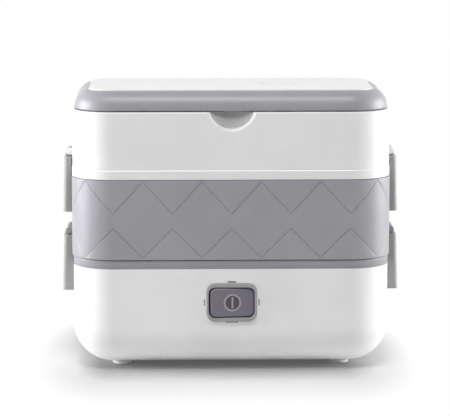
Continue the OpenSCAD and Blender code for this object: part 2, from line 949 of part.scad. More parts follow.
module switch_base() {
    color("black")
        at_switch(switch_base_y, switch_base_y + switch_base_l)
            round_rect(rocker_gap_w - 0.2, rocker_gap_h - 0.2, rocker_gap_r - 0.1);
}

module switch_terminals() {
    color("goldenrod")
        for (x = [-terminal_x, 0, terminal_x])
            at_switch(switch_base_y + switch_base_l, switch_base_y + switch_base_l + terminal_l)
                translate([x, 0])
                    square([0.8, 4.8], center = true);
}

module lower_tier_shell() {
    color("darkgray") {
        difference() {
            union() {
                band(lower_z, lower_top, 0, wall);
                rim_and_ledge(lower_top, 0)
                    bowl_hole(lower_top);
                web_and_skirt(lower_z, 0, collar_top);
            }
            zig_zag();
        }
        latch_ears(lower_z, 0);
        catch_beads(upper_z, 0);
    }
}

module lower_gasket() {
    skirt_gasket(collar_top);
}

module lower_bowl() {
    bowl(lower_top, lower_bowl_h);
}

module upper_tier_shell() {
    front = body_d / 2 - upper_inset;
    scoop_r = (notch_r * notch_r + notch_deep * notch_deep) / (2 * notch_deep);
    color("white")
        difference() {
            union() {
                band(upper_z, upper_top, upper_inset, upper_inset + wall);
                band(upper_z, upper_z + foot_band_h, upper_inset - foot_band_t, upper_inset + wall);
                rim_and_ledge(upper_top, upper_inset)
                    bowl_hole(upper_top);
                web_and_skirt(upper_z, upper_inset, lower_top);
                latch_ears(upper_z, upper_inset);
                hinge_ears();
                intersection() {
                    band(upper_top + notch_rise - notch_r - 3, upper_top, upper_inset + wall / 2, rim_w - eps);
                    translate([-notch_r - 2, -body_d, 0])
                        cube([2 * notch_r + 4, body_d, 2 * upper_top]);
                }
            }
            translate([0, -front - scoop_r + notch_deep, upper_top + notch_rise])
                sphere(scoop_r, $fn = 120);
            hinge_bores();
        }
}

module upper_gasket() {
    skirt_gasket(lower_top);
}

module upper_bowl() {
    bowl(upper_top, upper_bowl_h);
}

module lid_frame() {
    dome_h = lid_h - plate_proud;
    plate_under = lid_top - plate_t;
    color("darkgray")
        difference() {
            union() {
                translate([0, 0, lid_z + dome_h])
                    mirror([0, 0, 1])
                        dish(body_w - 2 * lid_inset, body_d - 2 * lid_inset, corner_r - lid_inset,
                            dome_h, lid_round, wall);
                band(plate_under - flange_t, plate_under, lid_inset + 0.54 * lid_round, plate_inset + plate_lap);
                for (x = [-boss_x, boss_x], y = [-1, 1])
                    translate([x, y * (body_d / 2 - boss_in), lid_z + liner_rise + liner_t])
                        cylinder(r = boss_r, h = dome_h - liner_rise - liner_t - 0.6 * wall);
                hinge_knuckles();
            }
            translate([0, 0, plate_under])
                linear_extrude(plate_t)
                    outline(plate_inset - 0.15);
            translate([0, 0, plate_under - 2 * flange_t])
                linear_extrude(3 * flange_t)
                    outline(plate_inset + plate_lap);
            for (x = [-boss_x, boss_x], y = [-1, 1])
                translate([x, y * (body_d / 2 - boss_in), lid_z])
                    cylinder(r = liner_screw_r + 0.02, h = liner_rise + liner_t + liner_grip + 1);
            hinge_bores();
        }
}

module lid_plate() {
    color("white")
        difference() {
            translate([0, 0, lid_top])
                mirror([0, 0, 1])
                    dish_block(body_w - 2 * plate_inset, body_d - 2 * plate_inset, corner_r - plate_inset,
                        plate_t, plate_edge_r);
            translate([vent_x, 0, lid_top - vent_t])
                cylinder(r = vent_r + 0.2, h = 2 * vent_t);
            translate([vent_x, 0, lid_z])
                cylinder(r = vent_tube_r + 0.3, h = 2 * lid_h);
        }
}

module lid_liner() {
    panel_z = lid_z + liner_rise;
    web_z = lid_z + 0.3;
    color("whitesmoke")
        difference() {
            union() {
                band(web_z, web_z + liner_t, lid_inset + wall + 0.3, skirt_in + skirt_t);
                band(upper_top - ledge_drop + gasket_t, panel_z + liner_t, skirt_in, skirt_in + skirt_t);
                translate([0, 0, panel_z])
                    linear_extrude(liner_t)
                        outline(skirt_in);
                translate([vent_x, 0, panel_z])
                    cylinder(r = vent_tube_r, h = lid_top - vent_t - panel_z - touch);
            }
            translate([vent_x, 0, panel_z - 1])
                cylinder(r = vent_bore_r, h = lid_h);
            for (x = [-boss_x, boss_x], y = [-1, 1])
                translate([x, y * (body_d / 2 - boss_in), panel_z - 1])
                    cylinder(r = liner_screw_r + 0.2, h = liner_t + 2);
        }
}

module lid_gasket() {
    skirt_gasket(upper_top);
}

module liner_screws() {
    color("silver")
        for (x = [-boss_x, boss_x], y = [-1, 1])
            translate([x, y * (body_d / 2 - boss_in), lid_z + liner_rise]) {
                translate([0, 0, -liner_head_t])
                    cylinder(r = liner_head_r, h = liner_head_t);
                translate([0, 0, -eps])
                    cylinder(r = liner_screw_r, h = liner_t + liner_grip);
            }
}

module vent_cap() {
    stem_h = 5;
    stem_wall = 1.4;
    color("white")
        translate([vent_x, 0, lid_top - vent_t])
            difference() {
                union() {
                    cylinder(r = vent_r, h = vent_t);
                    translate([0, 0, -stem_h])
                        cylinder(r = vent_bore_r - 0.1, h = stem_h + eps);
                }
                translate([0, 0, -stem_h - 1])
                    cylinder(r = vent_bore_r - stem_wall, h = stem_h + 1);
                for (a = [0 : 60 : 300])
                    rotate([0, 0, a])
                        translate([2.3, 0, -1])
                            cylinder(r = 0.8, h = vent_t + 2);
            }
}

module vent_seal() {
    color("whitesmoke")
        translate([vent_x, 0, lid_top - plate_t - 1.6])
            difference() {
                cylinder(r = vent_tube_r + 2.6, h = 1.6);
                translate([0, 0, -1])
                    cylinder(r = vent_tube_r + 0.05, h = 4);
            }
}

module hinge_pins() {
    pin_len = knuckle_w + 2 * hinge_side + 2 * hinge_ear_t - 0.6;
    color("silver")
        for (x = [-hinge_x, hinge_x])
            along_hinge(x - pin_len / 2, pin_len)
                circle(hinge_pin_r);
}

module latch_upper_left() {
    placed_latch(1, upper_z, upper_inset, 0);
}

module latch_upper_right() {
    placed_latch(0, upper_z, upper_inset, 0);
}

module latch_lower_left() {
    placed_latch(1, lower_z, 0, base_inset);
}

module latch_lower_right() {
    placed_latch(0, lower_z, 0, base_inset);
}

module upper_latch_pins() {
    latch_pins(upper_z, upper_inset);
}

module lower_latch_pins() {
    latch_pins(lower_z, 0);
}

// Sets the origin below the middle of the whole object, hinges and rocker included
module place() {
    translate([0, -mid_y, 0])
        children();
}

place() base_shell();
place() base_collar();
place() bottom_cover();
place() feet();
place() cover_screws();
place() water_pan();
place() pan_gasket();
place() heater_block();
place() heater_straps();
place() strap_screws();
place() thermostat();
place() thermal_fuse();
place() lead_wires();
place() inlet_socket();
place() inlet_pins();
place() switch_surround();
place() switch_bezel();
place() switch_rocker();
place() switch_base();
place() switch_terminals();
place() lower_tier_shell();
place() lower_gasket();
place() lower_bowl();
place() upper_tier_shell();
place() upper_gasket();
place() upper_bowl();
place() lid_frame();
place() lid_plate();
place() lid_liner();
place() lid_gasket();
place() liner_screws();
place() vent_cap();
place() vent_seal();
place() hinge_pins();
place() latch_upper_left();
place() latch_upper_right();
place() latch_lower_left();
place() latch_lower_right();
place() upper_latch_pins();
place() lower_latch_pins();
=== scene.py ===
import math

import bmesh
import bpy
from mathutils import Matrix, Vector


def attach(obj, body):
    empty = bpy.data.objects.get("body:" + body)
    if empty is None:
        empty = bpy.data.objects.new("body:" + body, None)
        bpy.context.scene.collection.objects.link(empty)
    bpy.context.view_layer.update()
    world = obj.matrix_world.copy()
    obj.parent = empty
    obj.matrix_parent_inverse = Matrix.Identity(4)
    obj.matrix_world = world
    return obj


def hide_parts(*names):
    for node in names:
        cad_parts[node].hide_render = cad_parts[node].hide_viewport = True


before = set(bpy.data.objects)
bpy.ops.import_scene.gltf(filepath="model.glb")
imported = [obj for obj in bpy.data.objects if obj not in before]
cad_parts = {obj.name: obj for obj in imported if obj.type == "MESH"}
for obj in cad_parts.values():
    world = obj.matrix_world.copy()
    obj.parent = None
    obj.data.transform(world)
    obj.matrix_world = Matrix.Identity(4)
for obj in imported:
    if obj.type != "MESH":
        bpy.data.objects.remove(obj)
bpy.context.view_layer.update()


# The photograph's viewpoint: a long lens a little left of the middle, looking down at about eight degrees.
# The stack's middle lies a little in front of the frame's origin, because the hinges stand out at the back.
stack_y = -0.0020834
camera_distance = 1.764
camera_height = 0.377
camera_side = math.radians(1.4)
camera_down = math.radians(8.5)
camera_turn = math.radians(0.12)
lens_over_width = 2371 / 450

camera = bpy.data.objects.new("camera", bpy.data.cameras.new("camera"))
bpy.context.scene.collection.objects.link(camera)
camera.data.sensor_width = 36
camera.data.lens = 36 * lens_over_width
camera.data.clip_end = 40
camera.location = (
    -camera_distance * math.sin(camera_side),
    stack_y - camera_distance * math.cos(camera_side),
    camera_height,
)
camera.rotation_euler = (math.pi / 2 - camera_down, 0, camera_turn - camera_side)
bpy.context.scene.camera = camera


# Studio light: a square softbox at each side, level with the object, and a wide one high up in front of it.
# The front of the object stays dimmer than its sides, as in a white packshot tent.
def softbox(name, place, target, size, power):
    """An area lamp at a place, turned to a target, with its size in metres and its power in watts."""
    lamp = bpy.data.objects.new(name, bpy.data.lights.new(name, "AREA"))
    lamp.data.shape = "RECTANGLE"
    lamp.data.size, lamp.data.size_y = size
    lamp.data.energy = power
    lamp.location = place
    lamp.rotation_euler = (Vector(target) - Vector(place)).to_track_quat("-Z", "Y").to_euler()
    bpy.context.scene.collection.objects.link(lamp)


softbox("left_softbox", (-1.0, 0.0, 0.25), (0, 0, 0.12), (0.7, 0.7), 15)
softbox("right_softbox", (1.0, 0.08, 0.25), (0, 0, 0.12), (0.7, 0.7), 13)
softbox("front_softbox", (-0.1, -0.62, 1.35), (0, 0, 0.1), (0.8, 0.45), 11.6)


def add_node(tree, kind, links=None, **settings):
    """Adds a node. Links map an input to a value or to another node's output."""
    node = tree.nodes.new(kind)
    for key, value in settings.items():
        setattr(node, key, value)
    for key, value in (links or {}).items():
        if isinstance(value, bpy.types.NodeSocket):
            tree.links.new(value, node.inputs[key])
        else:
            node.inputs[key].default_value = value
    return node


# The room: plain grey light on the object, white where the camera or a reflection looks past it.
world = bpy.data.worlds.new("studio")
bpy.context.scene.world = world
world.use_nodes = True
tree = world.node_tree
tree.nodes.clear()
path = add_node(tree, "ShaderNodeLightPath")
seen = add_node(tree, "ShaderNodeMath", {0: path.outputs["Is Camera Ray"], 1: path.outputs["Is Glossy Ray"]},
                operation="MAXIMUM")
seen = add_node(tree, "ShaderNodeMath", {0: seen.outputs[0], 1: path.outputs["Is Transmission Ray"]},
                operation="MAXIMUM")
light = add_node(tree, "ShaderNodeBackground", {"Color": (1, 1, 1, 1), "Strength": 0.06})
white = add_node(tree, "ShaderNodeBackground", {"Color": (1, 1, 1, 1), "Strength": 1.0})
mixed = add_node(tree, "ShaderNodeMixShader",
                 {0: seen.outputs[0], 1: light.outputs[0], 2: white.outputs[0]})
add_node(tree, "ShaderNodeOutputWorld", {"Surface": mixed.outputs[0]})


# The table: a white sheet that keeps the object's shadow and runs out to plain white behind it.
# The camera sees a painted shadow in it, grey round the feet, which deepens the real shadow. It fades out a hand's
# width away.
floor_mesh = bpy.data.meshes.new("table_top")
bm = bmesh.new()
bmesh.ops.create_circle(bm, cap_ends=True, segments=96, radius=14)
bm.to_mesh(floor_mesh)
bm.free()
table_top = bpy.data.objects.new("table_top", floor_mesh)
bpy.context.scene.collection.objects.link(table_top)
pool_shift, pool_half = (0.004, 0, 0), (0.084, 0.03, 0)
painted_shadow_start, painted_shadow_end, pool_edge = 0.02, 0.062, 0.13
paper_white, painted_shadow_dark, painted_shadow_pale, pool_glow = 0.78, 0.3, 0.66, 0.09
# Matt white paper: no gloss, so that the object has no mirror image in the table. For camera rays it carries the
# painted shadow.
paper = bpy.data.materials.new("white_paper_painted_shadow")
paper.use_nodes = True
tree = paper.node_tree
tree.nodes.clear()
path = add_node(tree, "ShaderNodeLightPath")
seen = add_node(tree, "ShaderNodeMath", {0: path.outputs["Is Camera Ray"], 1: path.outputs["Is Glossy Ray"]},
                operation="MAXIMUM")
seen = add_node(tree, "ShaderNodeMath", {0: seen.outputs[0], 1: path.outputs["Is Transmission Ray"]},
                operation="MAXIMUM")
place = add_node(tree, "ShaderNodeTexCoord")
near = add_node(tree, "ShaderNodeVectorMath", {0: place.outputs["Object"], 1: pool_shift}, operation="ADD")
near = add_node(tree, "ShaderNodeVectorMath", {0: near.outputs[0]}, operation="ABSOLUTE")
near = add_node(tree, "ShaderNodeVectorMath", {0: near.outputs[0], 1: pool_half}, operation="SUBTRACT")
near = add_node(tree, "ShaderNodeVectorMath", {0: near.outputs[0], 1: (0, 0, 0)}, operation="MAXIMUM")
near = add_node(tree, "ShaderNodeVectorMath", {0: near.outputs[0], 1: (2.3, 1, 1)}, operation="MULTIPLY")
near = add_node(tree, "ShaderNodeVectorMath", {0: near.outputs[0]}, operation="LENGTH")
# Painted shadow: camera rays see the sheet darker near the feet and paler further out, while other rays see plain
# paper.
painted_shadow = add_node(tree, "ShaderNodeMapRange",
                {"Value": near.outputs["Value"], "From Min": painted_shadow_start, "From Max": painted_shadow_end,
                 "To Min": painted_shadow_dark, "To Max": painted_shadow_pale})
fade = add_node(tree, "ShaderNodeMapRange",
                {"Value": near.outputs["Value"], "From Min": 0.06, "From Max": pool_edge, "To Min": pool_glow})
tint = add_node(tree, "ShaderNodeMix", {0: path.outputs["Is Camera Ray"], 2: paper_white, 3: painted_shadow.outputs[0]})
share = add_node(tree, "ShaderNodeMath", {0: seen.outputs[0], 1: fade.outputs[0]}, operation="MULTIPLY")
sheet = add_node(tree, "ShaderNodeBsdfDiffuse", {"Color": tint.outputs[0]})
glow = add_node(tree, "ShaderNodeEmission", {"Color": (1, 1, 1, 1), "Strength": 1.0})
mixed = add_node(tree, "ShaderNodeMixShader",
                 {0: share.outputs[0], 1: sheet.outputs[0], 2: glow.outputs[0]})
add_node(tree, "ShaderNodeOutputMaterial", {"Surface": mixed.outputs[0]})
floor_mesh.materials.append(paper)
bpy.context.scene.view_settings.view_transform = "Standard"


# The base shell: injection-moulded white ABS with a high gloss. Its bottom edge is one large round.
# It is open above for the collar and below for the cover, and has a mouth for the switch and a niche for the lead.
MM = 0.001


def linear(code):
    """An sRGB hex value as a linear colour."""
    parts = [int(code[i:i + 2], 16) / 255 for i in (1, 3, 5)]
    return [c / 12.92 if c <= 0.04045 else ((c + 0.055) / 1.055) ** 2.4 for c in parts] + [1]


def moulded(name, dark, pale, roughness, grain_mm, dents):
    """A moulded plastic: faint flow clouds between two near colours, and the fine skin that the mould leaves.

    A real skin's grain is finer than 0.1 mm. It is drawn coarser, so that it shows at all.
    """
    cloud_mm = 36
    material = bpy.data.materials.new(name)
    material.use_nodes = True
    tree = material.node_tree
    tree.nodes.clear()
    place = add_node(tree, "ShaderNodeTexCoord")
    clouds = add_node(tree, "ShaderNodeTexNoise",
                      {"Vector": place.outputs["Object"], "Scale": 1000 / cloud_mm, "Detail": 3, "Roughness": 0.5})
    spread = add_node(tree, "ShaderNodeMapRange",
                      {"Value": clouds.outputs["Fac"], "From Min": 0.3, "From Max": 0.7},
                      interpolation_type="SMOOTHSTEP")
    shade = add_node(tree, "ShaderNodeMix", {0: spread.outputs["Result"], 6: linear(dark), 7: linear(pale)},
                     data_type="RGBA")
    wear = add_node(tree, "ShaderNodeMapRange",
                    {"Value": clouds.outputs["Fac"], "From Min": 0.3, "From Max": 0.7,
                     "To Min": roughness * 0.95, "To Max": roughness * 1.15})
    skin = add_node(tree, "ShaderNodeTexNoise",
                    {"Vector": place.outputs["Object"], "Scale": 1000 / grain_mm, "Detail": 2, "Roughness": 0.6})
    relief = add_node(tree, "ShaderNodeBump",
                      {"Height": skin.outputs["Fac"], "Strength": dents, "Distance": 0.0001})
    surface = add_node(tree, "ShaderNodeBsdfPrincipled",
                       {"Base Color": shade.outputs[2], "Roughness": wear.outputs["Result"],
                        "Normal": relief.outputs["Normal"], "IOR": 1.5})
    add_node(tree, "ShaderNodeOutputMaterial", {"Surface": surface.outputs["BSDF"]})
    return material


def settle(name, bm, material, body, replaced=(), edge=0.35, steps=2):
    """Makes a finished piece of a bmesh drawn in millimetres about the stack's middle, and rounds its sharp edges."""
    bmesh.ops.remove_doubles(bm, verts=bm.verts, dist=0.001)
    bmesh.ops.scale(bm, vec=(MM, MM, MM), verts=bm.verts)
    bmesh.ops.translate(bm, vec=(0, stack_y, 0), verts=bm.verts)
    mesh = bpy.data.meshes.new(name)
    bm.to_mesh(mesh)
    bm.free()
    mesh.shade_smooth()
    mesh.materials.append(material)
    piece = bpy.data.objects.new(name, mesh)
    bpy.context.scene.collection.objects.link(piece)
    if edge:
        rounding = piece.modifiers.new("rounding", "BEVEL")
        rounding.width = edge * MM
        rounding.segments = steps
        rounding.limit_method = "ANGLE"
        rounding.angle_limit = math.radians(32)
    piece.modifiers.new("even_shading", "WEIGHTED_NORMAL").keep_sharp = True
    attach(piece, body)
    if replaced:
        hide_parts(*replaced)
    return piece


def rounded_block(bm, width, depth, corner, bottom, top, steps=16):
    """A block with round upright edges, centred on the stack. Returns its new vertices."""
    verts = bmesh.ops.create_cube(bm, size=1)["verts"]
    bmesh.ops.scale(bm, vec=(width, depth, top - bottom), verts=verts)
    bmesh.ops.translate(bm, vec=(0, 0, (top + bottom) / 2), verts=verts)
    known = set(bm.verts) - set(verts)
    upright = [e for e in bm.edges if e.verts[0] in verts and abs(e.verts[0].co.z - e.verts[1].co.z) > 1e-3]
    bmesh.ops.bevel(bm, geom=upright, offset=corner, segments=steps, profile=0.5, affect="EDGES", material=-1)
    return [v for v in bm.verts if v not in known]


def in_order(bm, items):
    """A set of vertices, edges or faces in the mesh's own order, so that every run makes the same mesh."""
    for sequence in (bm.verts, bm.edges, bm.faces):
        sequence.index_update()
    return sorted(items, key=lambda item: (type(item).__name__, item.index))


def round_edge(bm, edges, radius, steps):
    """Rounds edges with a true radius. Returns the new faces."""
    return bmesh.ops.bevel(bm, geom=edges, offset=radius, segments=steps, profile=0.5,
                           affect="EDGES", material=-1)["faces"]


def faces_where(bm, test):
    """The faces whose middle passes a test."""
    return [f for f in bm.faces if test(f.calc_center_median())]


LEVEL = ((1, 0, 0), (0, 1, 0))
FRONT = ((1, 0, 0), (0, 0, 1))
SIDE = ((0, 1, 0), (0, 0, 1))


def window(bm, width, height, corner, centre, axes, steps=6):
    """A loop of edges round a window with round corners, in the plane of two axes through its centre."""
    verts = bmesh.ops.create_grid(bm, x_segments=1, y_segments=1, size=0.5)["verts"]
    bmesh.ops.scale(bm, vec=(width, height, 1), verts=verts)
    face = verts[0].link_faces[0]
    known = set(bm.verts) - set(verts)
    bmesh.ops.bevel(bm, geom=verts, offset=corner, segments=steps, profile=0.5, affect="VERTICES", material=-1)
    bmesh.ops.remove_doubles(bm, verts=[v for v in bm.verts if v not in known], dist=0.0005)
    verts = [v for v in bm.verts if v not in known]
    bmesh.ops.delete(bm, geom=in_order(bm, {f for v in verts for f in v.link_faces}), context="FACES_ONLY")
    across, up = Vector(axes[0]), Vector(axes[1])
    turn = Matrix((across, up, across.cross(up))).transposed().to_4x4()
    bmesh.ops.transform(bm, matrix=Matrix.Translation(centre) @ turn, verts=verts)
    return in_order(bm, {e for v in verts for e in v.link_edges})


def fill(bm, edges, margin=0.8):
    """Fills a flat outline, with the windows that lie in it left open, and keeps a plain margin along every rim."""
    made = bmesh.ops.triangle_fill(bm, use_beauty=True, edges=edges)["geom"]
    faces = [item for item in made if isinstance(item, bmesh.types.BMFace)]
    bmesh.ops.recalc_face_normals(bm, faces=faces)
    bmesh.ops.inset_region(bm, faces=faces, thickness=margin, use_boundary=True, use_even_offset=True)


base_w, base_d, base_r = 233.0, 114.0, 30.0
base_bottom, base_top = 3.5, 76.8
base_round = 29.0
base_wall = 2.4
cover_w, cover_d, cover_r = 173.3, 54.3, 9.15
mouth_w, mouth_h, mouth_r, mouth_z = 35.4, 24.4, 3.4, 52.0
# Glossy ABS: a clean, cool white with soft, wide reflections that clip where the side lamps face it.
white_abs = moulded("white_gloss_abs", "#EBEBEC", "#F0F0F0", 0.3, 0.6, 0.05)
bm = bmesh.new()
block = rounded_block(bm, base_w, base_d, base_r, base_bottom, base_top)
round_edge(bm, [e for e in bm.edges if all(v.co.z < base_bottom + 0.001 for v in e.verts)], base_round, 22)
bmesh.ops.delete(bm, geom=faces_where(bm, lambda c: c.z > base_top - 0.01), context="FACES_ONLY")
bottom_face = faces_where(bm, lambda c: c.z < base_bottom + 0.01)[0]
bottom_rim = list(bottom_face.edges)
bmesh.ops.delete(bm, geom=[bottom_face], context="FACES_ONLY")
cover_mouth = window(bm, cover_w, cover_d, cover_r, (0, 0, base_bottom), LEVEL)
fill(bm, bottom_rim + cover_mouth)
front_y = -base_d / 2
front_face = faces_where(bm, lambda c: c.y < front_y + 0.01)[0]
front_rim = list(front_face.edges)
bmesh.ops.delete(bm, geom=[front_face], context="FACES_ONLY")
fill(bm, front_rim + window(bm, mouth_w, mouth_h, mouth_r, (0, front_y, mouth_z), FRONT))

niche_x, niche_half, niche_low, niche_high = 104.0, 16.0, 13.0, 40.0
socket_w, socket_h, socket_r, socket_z = 22.2, 14.2, 1, 26.5
for point, normal in (((0, -niche_half, 0), (0, 1, 0)), ((0, niche_half, 0), (0, 1, 0)),
                      ((0, 0, niche_low), (0, 0, 1)), ((0, 0, niche_high), (0, 0, 1))):
    side = [f for f in bm.faces if f.calc_center_median().x > 95]
    parts = set(side) | {e for f in side for e in f.edges} | {v for f in side for v in f.verts}
    bmesh.ops.bisect_plane(bm, geom=in_order(bm, parts), dist=1e-4, plane_co=point, plane_no=normal)
mouth = faces_where(bm, lambda c: c.x > niche_x and abs(c.y) < niche_half and niche_low < c.z < niche_high)
rim = in_order(bm, {e for f in mouth for e in f.edges if sum(f in mouth for f in e.link_faces) == 1})
bmesh.ops.delete(bm, geom=mouth, context="FACES")
deep = bmesh.ops.extrude_edge_only(bm, edges=rim)["geom"]
for vert in (v for v in deep if isinstance(v, bmesh.types.BMVert)):
    vert.co.x = niche_x
socket_mouth = window(bm, socket_w, socket_h, socket_r, (niche_x, 0, socket_z), SIDE)
fill(bm, [e for e in deep if isinstance(e, bmesh.types.BMEdge)] + socket_mouth)
bmesh.ops.recalc_face_normals(bm, faces=bm.faces)
bmesh.ops.solidify(bm, geom=bm.faces[:], thickness=base_wall)


def bar(bm, length, radius, centre, along, sides=24):
    """A round bar through a centre, lying along an axis."""
    verts = bmesh.ops.create_cone(bm, cap_ends=True, segments=sides, radius1=radius, radius2=radius,
                                  depth=length)["verts"]
    turn = Vector(along).to_track_quat("Z", "Y").to_matrix().to_4x4()
    bmesh.ops.transform(bm, matrix=Matrix.Translation(centre) @ turn, verts=verts)
    return verts


bead_r, bead_len, base_bead_z = 1.5, 24.0, 68.5
for side in (-1, 1):
    bar(bm, bead_len, bead_r, (side * base_w / 2, 0, base_bead_z), (0, 1, 0))
settle("base_shell_skin", bm, white_abs, "base", ["base_shell"])


# The bottom cover, feet and screws: a flat white plate let into the base, four soft feet, and pan-head screws.
# The feet are moulded in white silicone with a rounded tread, and the cover's screws go up through them.
def lathe(bm, points, centre, axis=(0, 0, 1), steps=40):
    """Turns a profile of (radius, height) points into a round solid about an axis through a centre."""
    verts = [bm.verts.new((radius, 0, height)) for radius, height in points]
    edges = [bm.edges.new(pair) for pair in zip(verts, verts[1:])]
    bmesh.ops.spin(bm, geom=verts + edges, cent=(0, 0, 0), axis=(0, 0, 1), dvec=(0, 0, 0),
                   angle=math.tau, steps=steps, use_merge=True)
    turned = set(verts)
    reached = list(verts)
    while reached:
        for edge in reached.pop().link_edges:
            for vert in edge.verts:
                if vert not in turned:
                    turned.add(vert)
                    reached.append(vert)
    bmesh.ops.remove_doubles(bm, verts=in_order(bm, turned), dist=0.0005)
    turned = in_order(bm, {v for v in turned if v.is_valid})
    turn = Vector(axis).to_track_quat("Z", "Y").to_matrix().to_4x4()
    bmesh.ops.transform(bm, matrix=Matrix.Translation(centre) @ turn, verts=turned)
    bmesh.ops.recalc_face_normals(bm, faces=in_order(bm, {f for v in turned for f in v.link_faces}))


def plain(name, colour, roughness, metallic=0.0, grain_mm=0.5, dents=0.04):
    """A small part's finish: one colour, broken up by a fine bump and uneven gloss."""
    material = bpy.data.materials.new(name)
    material.use_nodes = True
    tree = material.node_tree
    tree.nodes.clear()
    place = add_node(tree, "ShaderNodeTexCoord")
    skin = add_node(tree, "ShaderNodeTexNoise",
                    {"Vector": place.outputs["Object"], "Scale": 1000 / grain_mm, "Detail": 3})
    gloss = add_node(tree, "ShaderNodeMapRange",
                     {"Value": skin.outputs["Fac"], "To Min": roughness * 0.85, "To Max": roughness * 1.15})
    relief = add_node(tree, "ShaderNodeBump",
                      {"Height": skin.outputs["Fac"], "Strength": dents, "Distance": 0.0001})
    surface = add_node(tree, "ShaderNodeBsdfPrincipled",
                       {"Base Color": linear(colour), "Metallic": metallic, "Roughness": gloss.outputs["Result"],
                        "Normal": relief.outputs["Normal"]})
    add_node(tree, "ShaderNodeOutputMaterial", {"Surface": surface.outputs["BSDF"]})
    return material


def dress(material, slot, *names):
    """Gives CAD nodes that keep their shape a finish."""
    for name in names:
        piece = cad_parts[name]
        piece.data.materials.clear()
        piece.data.materials.append(material)


foot_x, foot_y, foot_r, foot_h = 80.2, 21.6, 8.2, 3.5
# Silicone rubber is a matt, milky white, and zinc plate a pale, slightly bluish steel.
silicone = plain("soft_silicone", "#F6F6F4", 0.5, grain_mm=0.4)
zinc = plain("zinc_plated_steel", "#C9CBD0", 0.28, 1.0, 0.3, 0.1)
bm = bmesh.new()
for side in (-1, 1):
    for end in (-1, 1):
        lathe(bm, [(0, 0), (foot_r - 1.4, 0), (foot_r - 0.4, 0.4), (foot_r, 1.4), (foot_r, foot_h), (0, foot_h)],
              (side * foot_x, end * foot_y, 0))
settle("tread_feet", bm, silicone, "base", ["feet"], edge=0)
dress(white_abs, "white_abs", "bottom_cover")
dress(zinc, "zinc", "cover_screws", "heater_straps", "strap_screws", "liner_screws", "hinge_pins",
      "upper_latch_pins", "lower_latch_pins")


# The collar: satin grey polypropylene on top of the base. Its deck carries the water pan, and its rim takes the tier.
def outline(inset, height, fillet=0.0):
    """A ring that follows the stack's outline, set in from its widest piece."""
    return 235.0 - 2 * inset, 116.0 - 2 * inset, 31.0 - inset, height, fillet


def ringed(bm, rings, closed=True, steps=18):
    """Joins level rings of (width, depth, corner, height, fillet) into one wall, and rounds its edges."""
    loops = [window(bm, w, d, r, (0, 0, z), LEVEL, steps) for w, d, r, z, _ in rings]
    for one, other in zip(loops, loops[1:] + loops[:1] if closed else loops[1:]):
        bmesh.ops.bridge_loops(bm, edges=one + other)
    bmesh.ops.recalc_face_normals(bm, faces=bm.faces)
    for loop, ring in zip(loops, rings):
        if ring[4]:
            round_edge(bm, loop, ring[4], 4)
    return loops


collar_in, collar_top, collar_fillet = 1, 83.3, 0.8
deck_in, deck_top, deck_low, collar_low = 7, 77.3, 74.9, 76.8
well_w, well_d, well_r = 146.8, 70.8, 16.4
# Satin polypropylene: a grey with a breath of violet, and dull, even highlights.
grey_pp = moulded("satin_grey_polypropylene", "#9A999F", "#9F9EA4", 0.36, 0.5, 0.08)
bm = bmesh.new()
ringed(bm, [outline(collar_in, collar_low), outline(collar_in, collar_top, collar_fillet),
            outline(deck_in, collar_top, 0.5), outline(deck_in, deck_top),
            (well_w, well_d, well_r, deck_top, 0.3), (well_w, well_d, well_r, deck_low, 0),
            outline(deck_in - base_wall, deck_low), outline(deck_in - base_wall, collar_low)])
settle("collar_ring", bm, grey_pp, "base", ["base_collar"], edge=0)


# The water pan and the two bowls: deep-drawn stainless steel, brushed along their length, with a flat rolled flange.
# The pan is screwed down over the heater, and the bowls hang in the tiers by their flanges.
def brushed(name, colour, roughness, line_mm):
    """Brushed steel: fine scratches along X that stretch and scatter the highlights.

    The belt's scratches are about 0.05 mm apart. They are drawn coarser, so that they show.
    """
    scratch_mm = 40
    material = bpy.data.materials.new(name)
    material.use_nodes = True
    tree = material.node_tree
    tree.nodes.clear()
    place = add_node(tree, "ShaderNodeTexCoord")
    stretch = add_node(tree, "ShaderNodeMapping",
                       {"Vector": place.outputs["Object"],
                        "Scale": (1000 / scratch_mm, 1000 / line_mm, 1000 / line_mm)})
    lines = add_node(tree, "ShaderNodeTexNoise", {"Vector": stretch.outputs["Vector"], "Scale": 1, "Detail": 4})
    gloss = add_node(tree, "ShaderNodeMapRange",
                     {"Value": lines.outputs["Fac"], "From Min": 0.3, "From Max": 0.7,
                      "To Min": roughness * 0.75, "To Max": roughness * 1.3})
    relief = add_node(tree, "ShaderNodeBump",
                      {"Height": lines.outputs["Fac"], "Strength": 0.12, "Distance": 0.0001})
    surface = add_node(tree, "ShaderNodeBsdfPrincipled",
                       {"Base Color": linear(colour), "Metallic": 1.0, "Roughness": gloss.outputs["Result"],
                        "Normal": relief.outputs["Normal"]})
    add_node(tree, "ShaderNodeOutputMaterial", {"Surface": surface.outputs["BSDF"]})
    return material


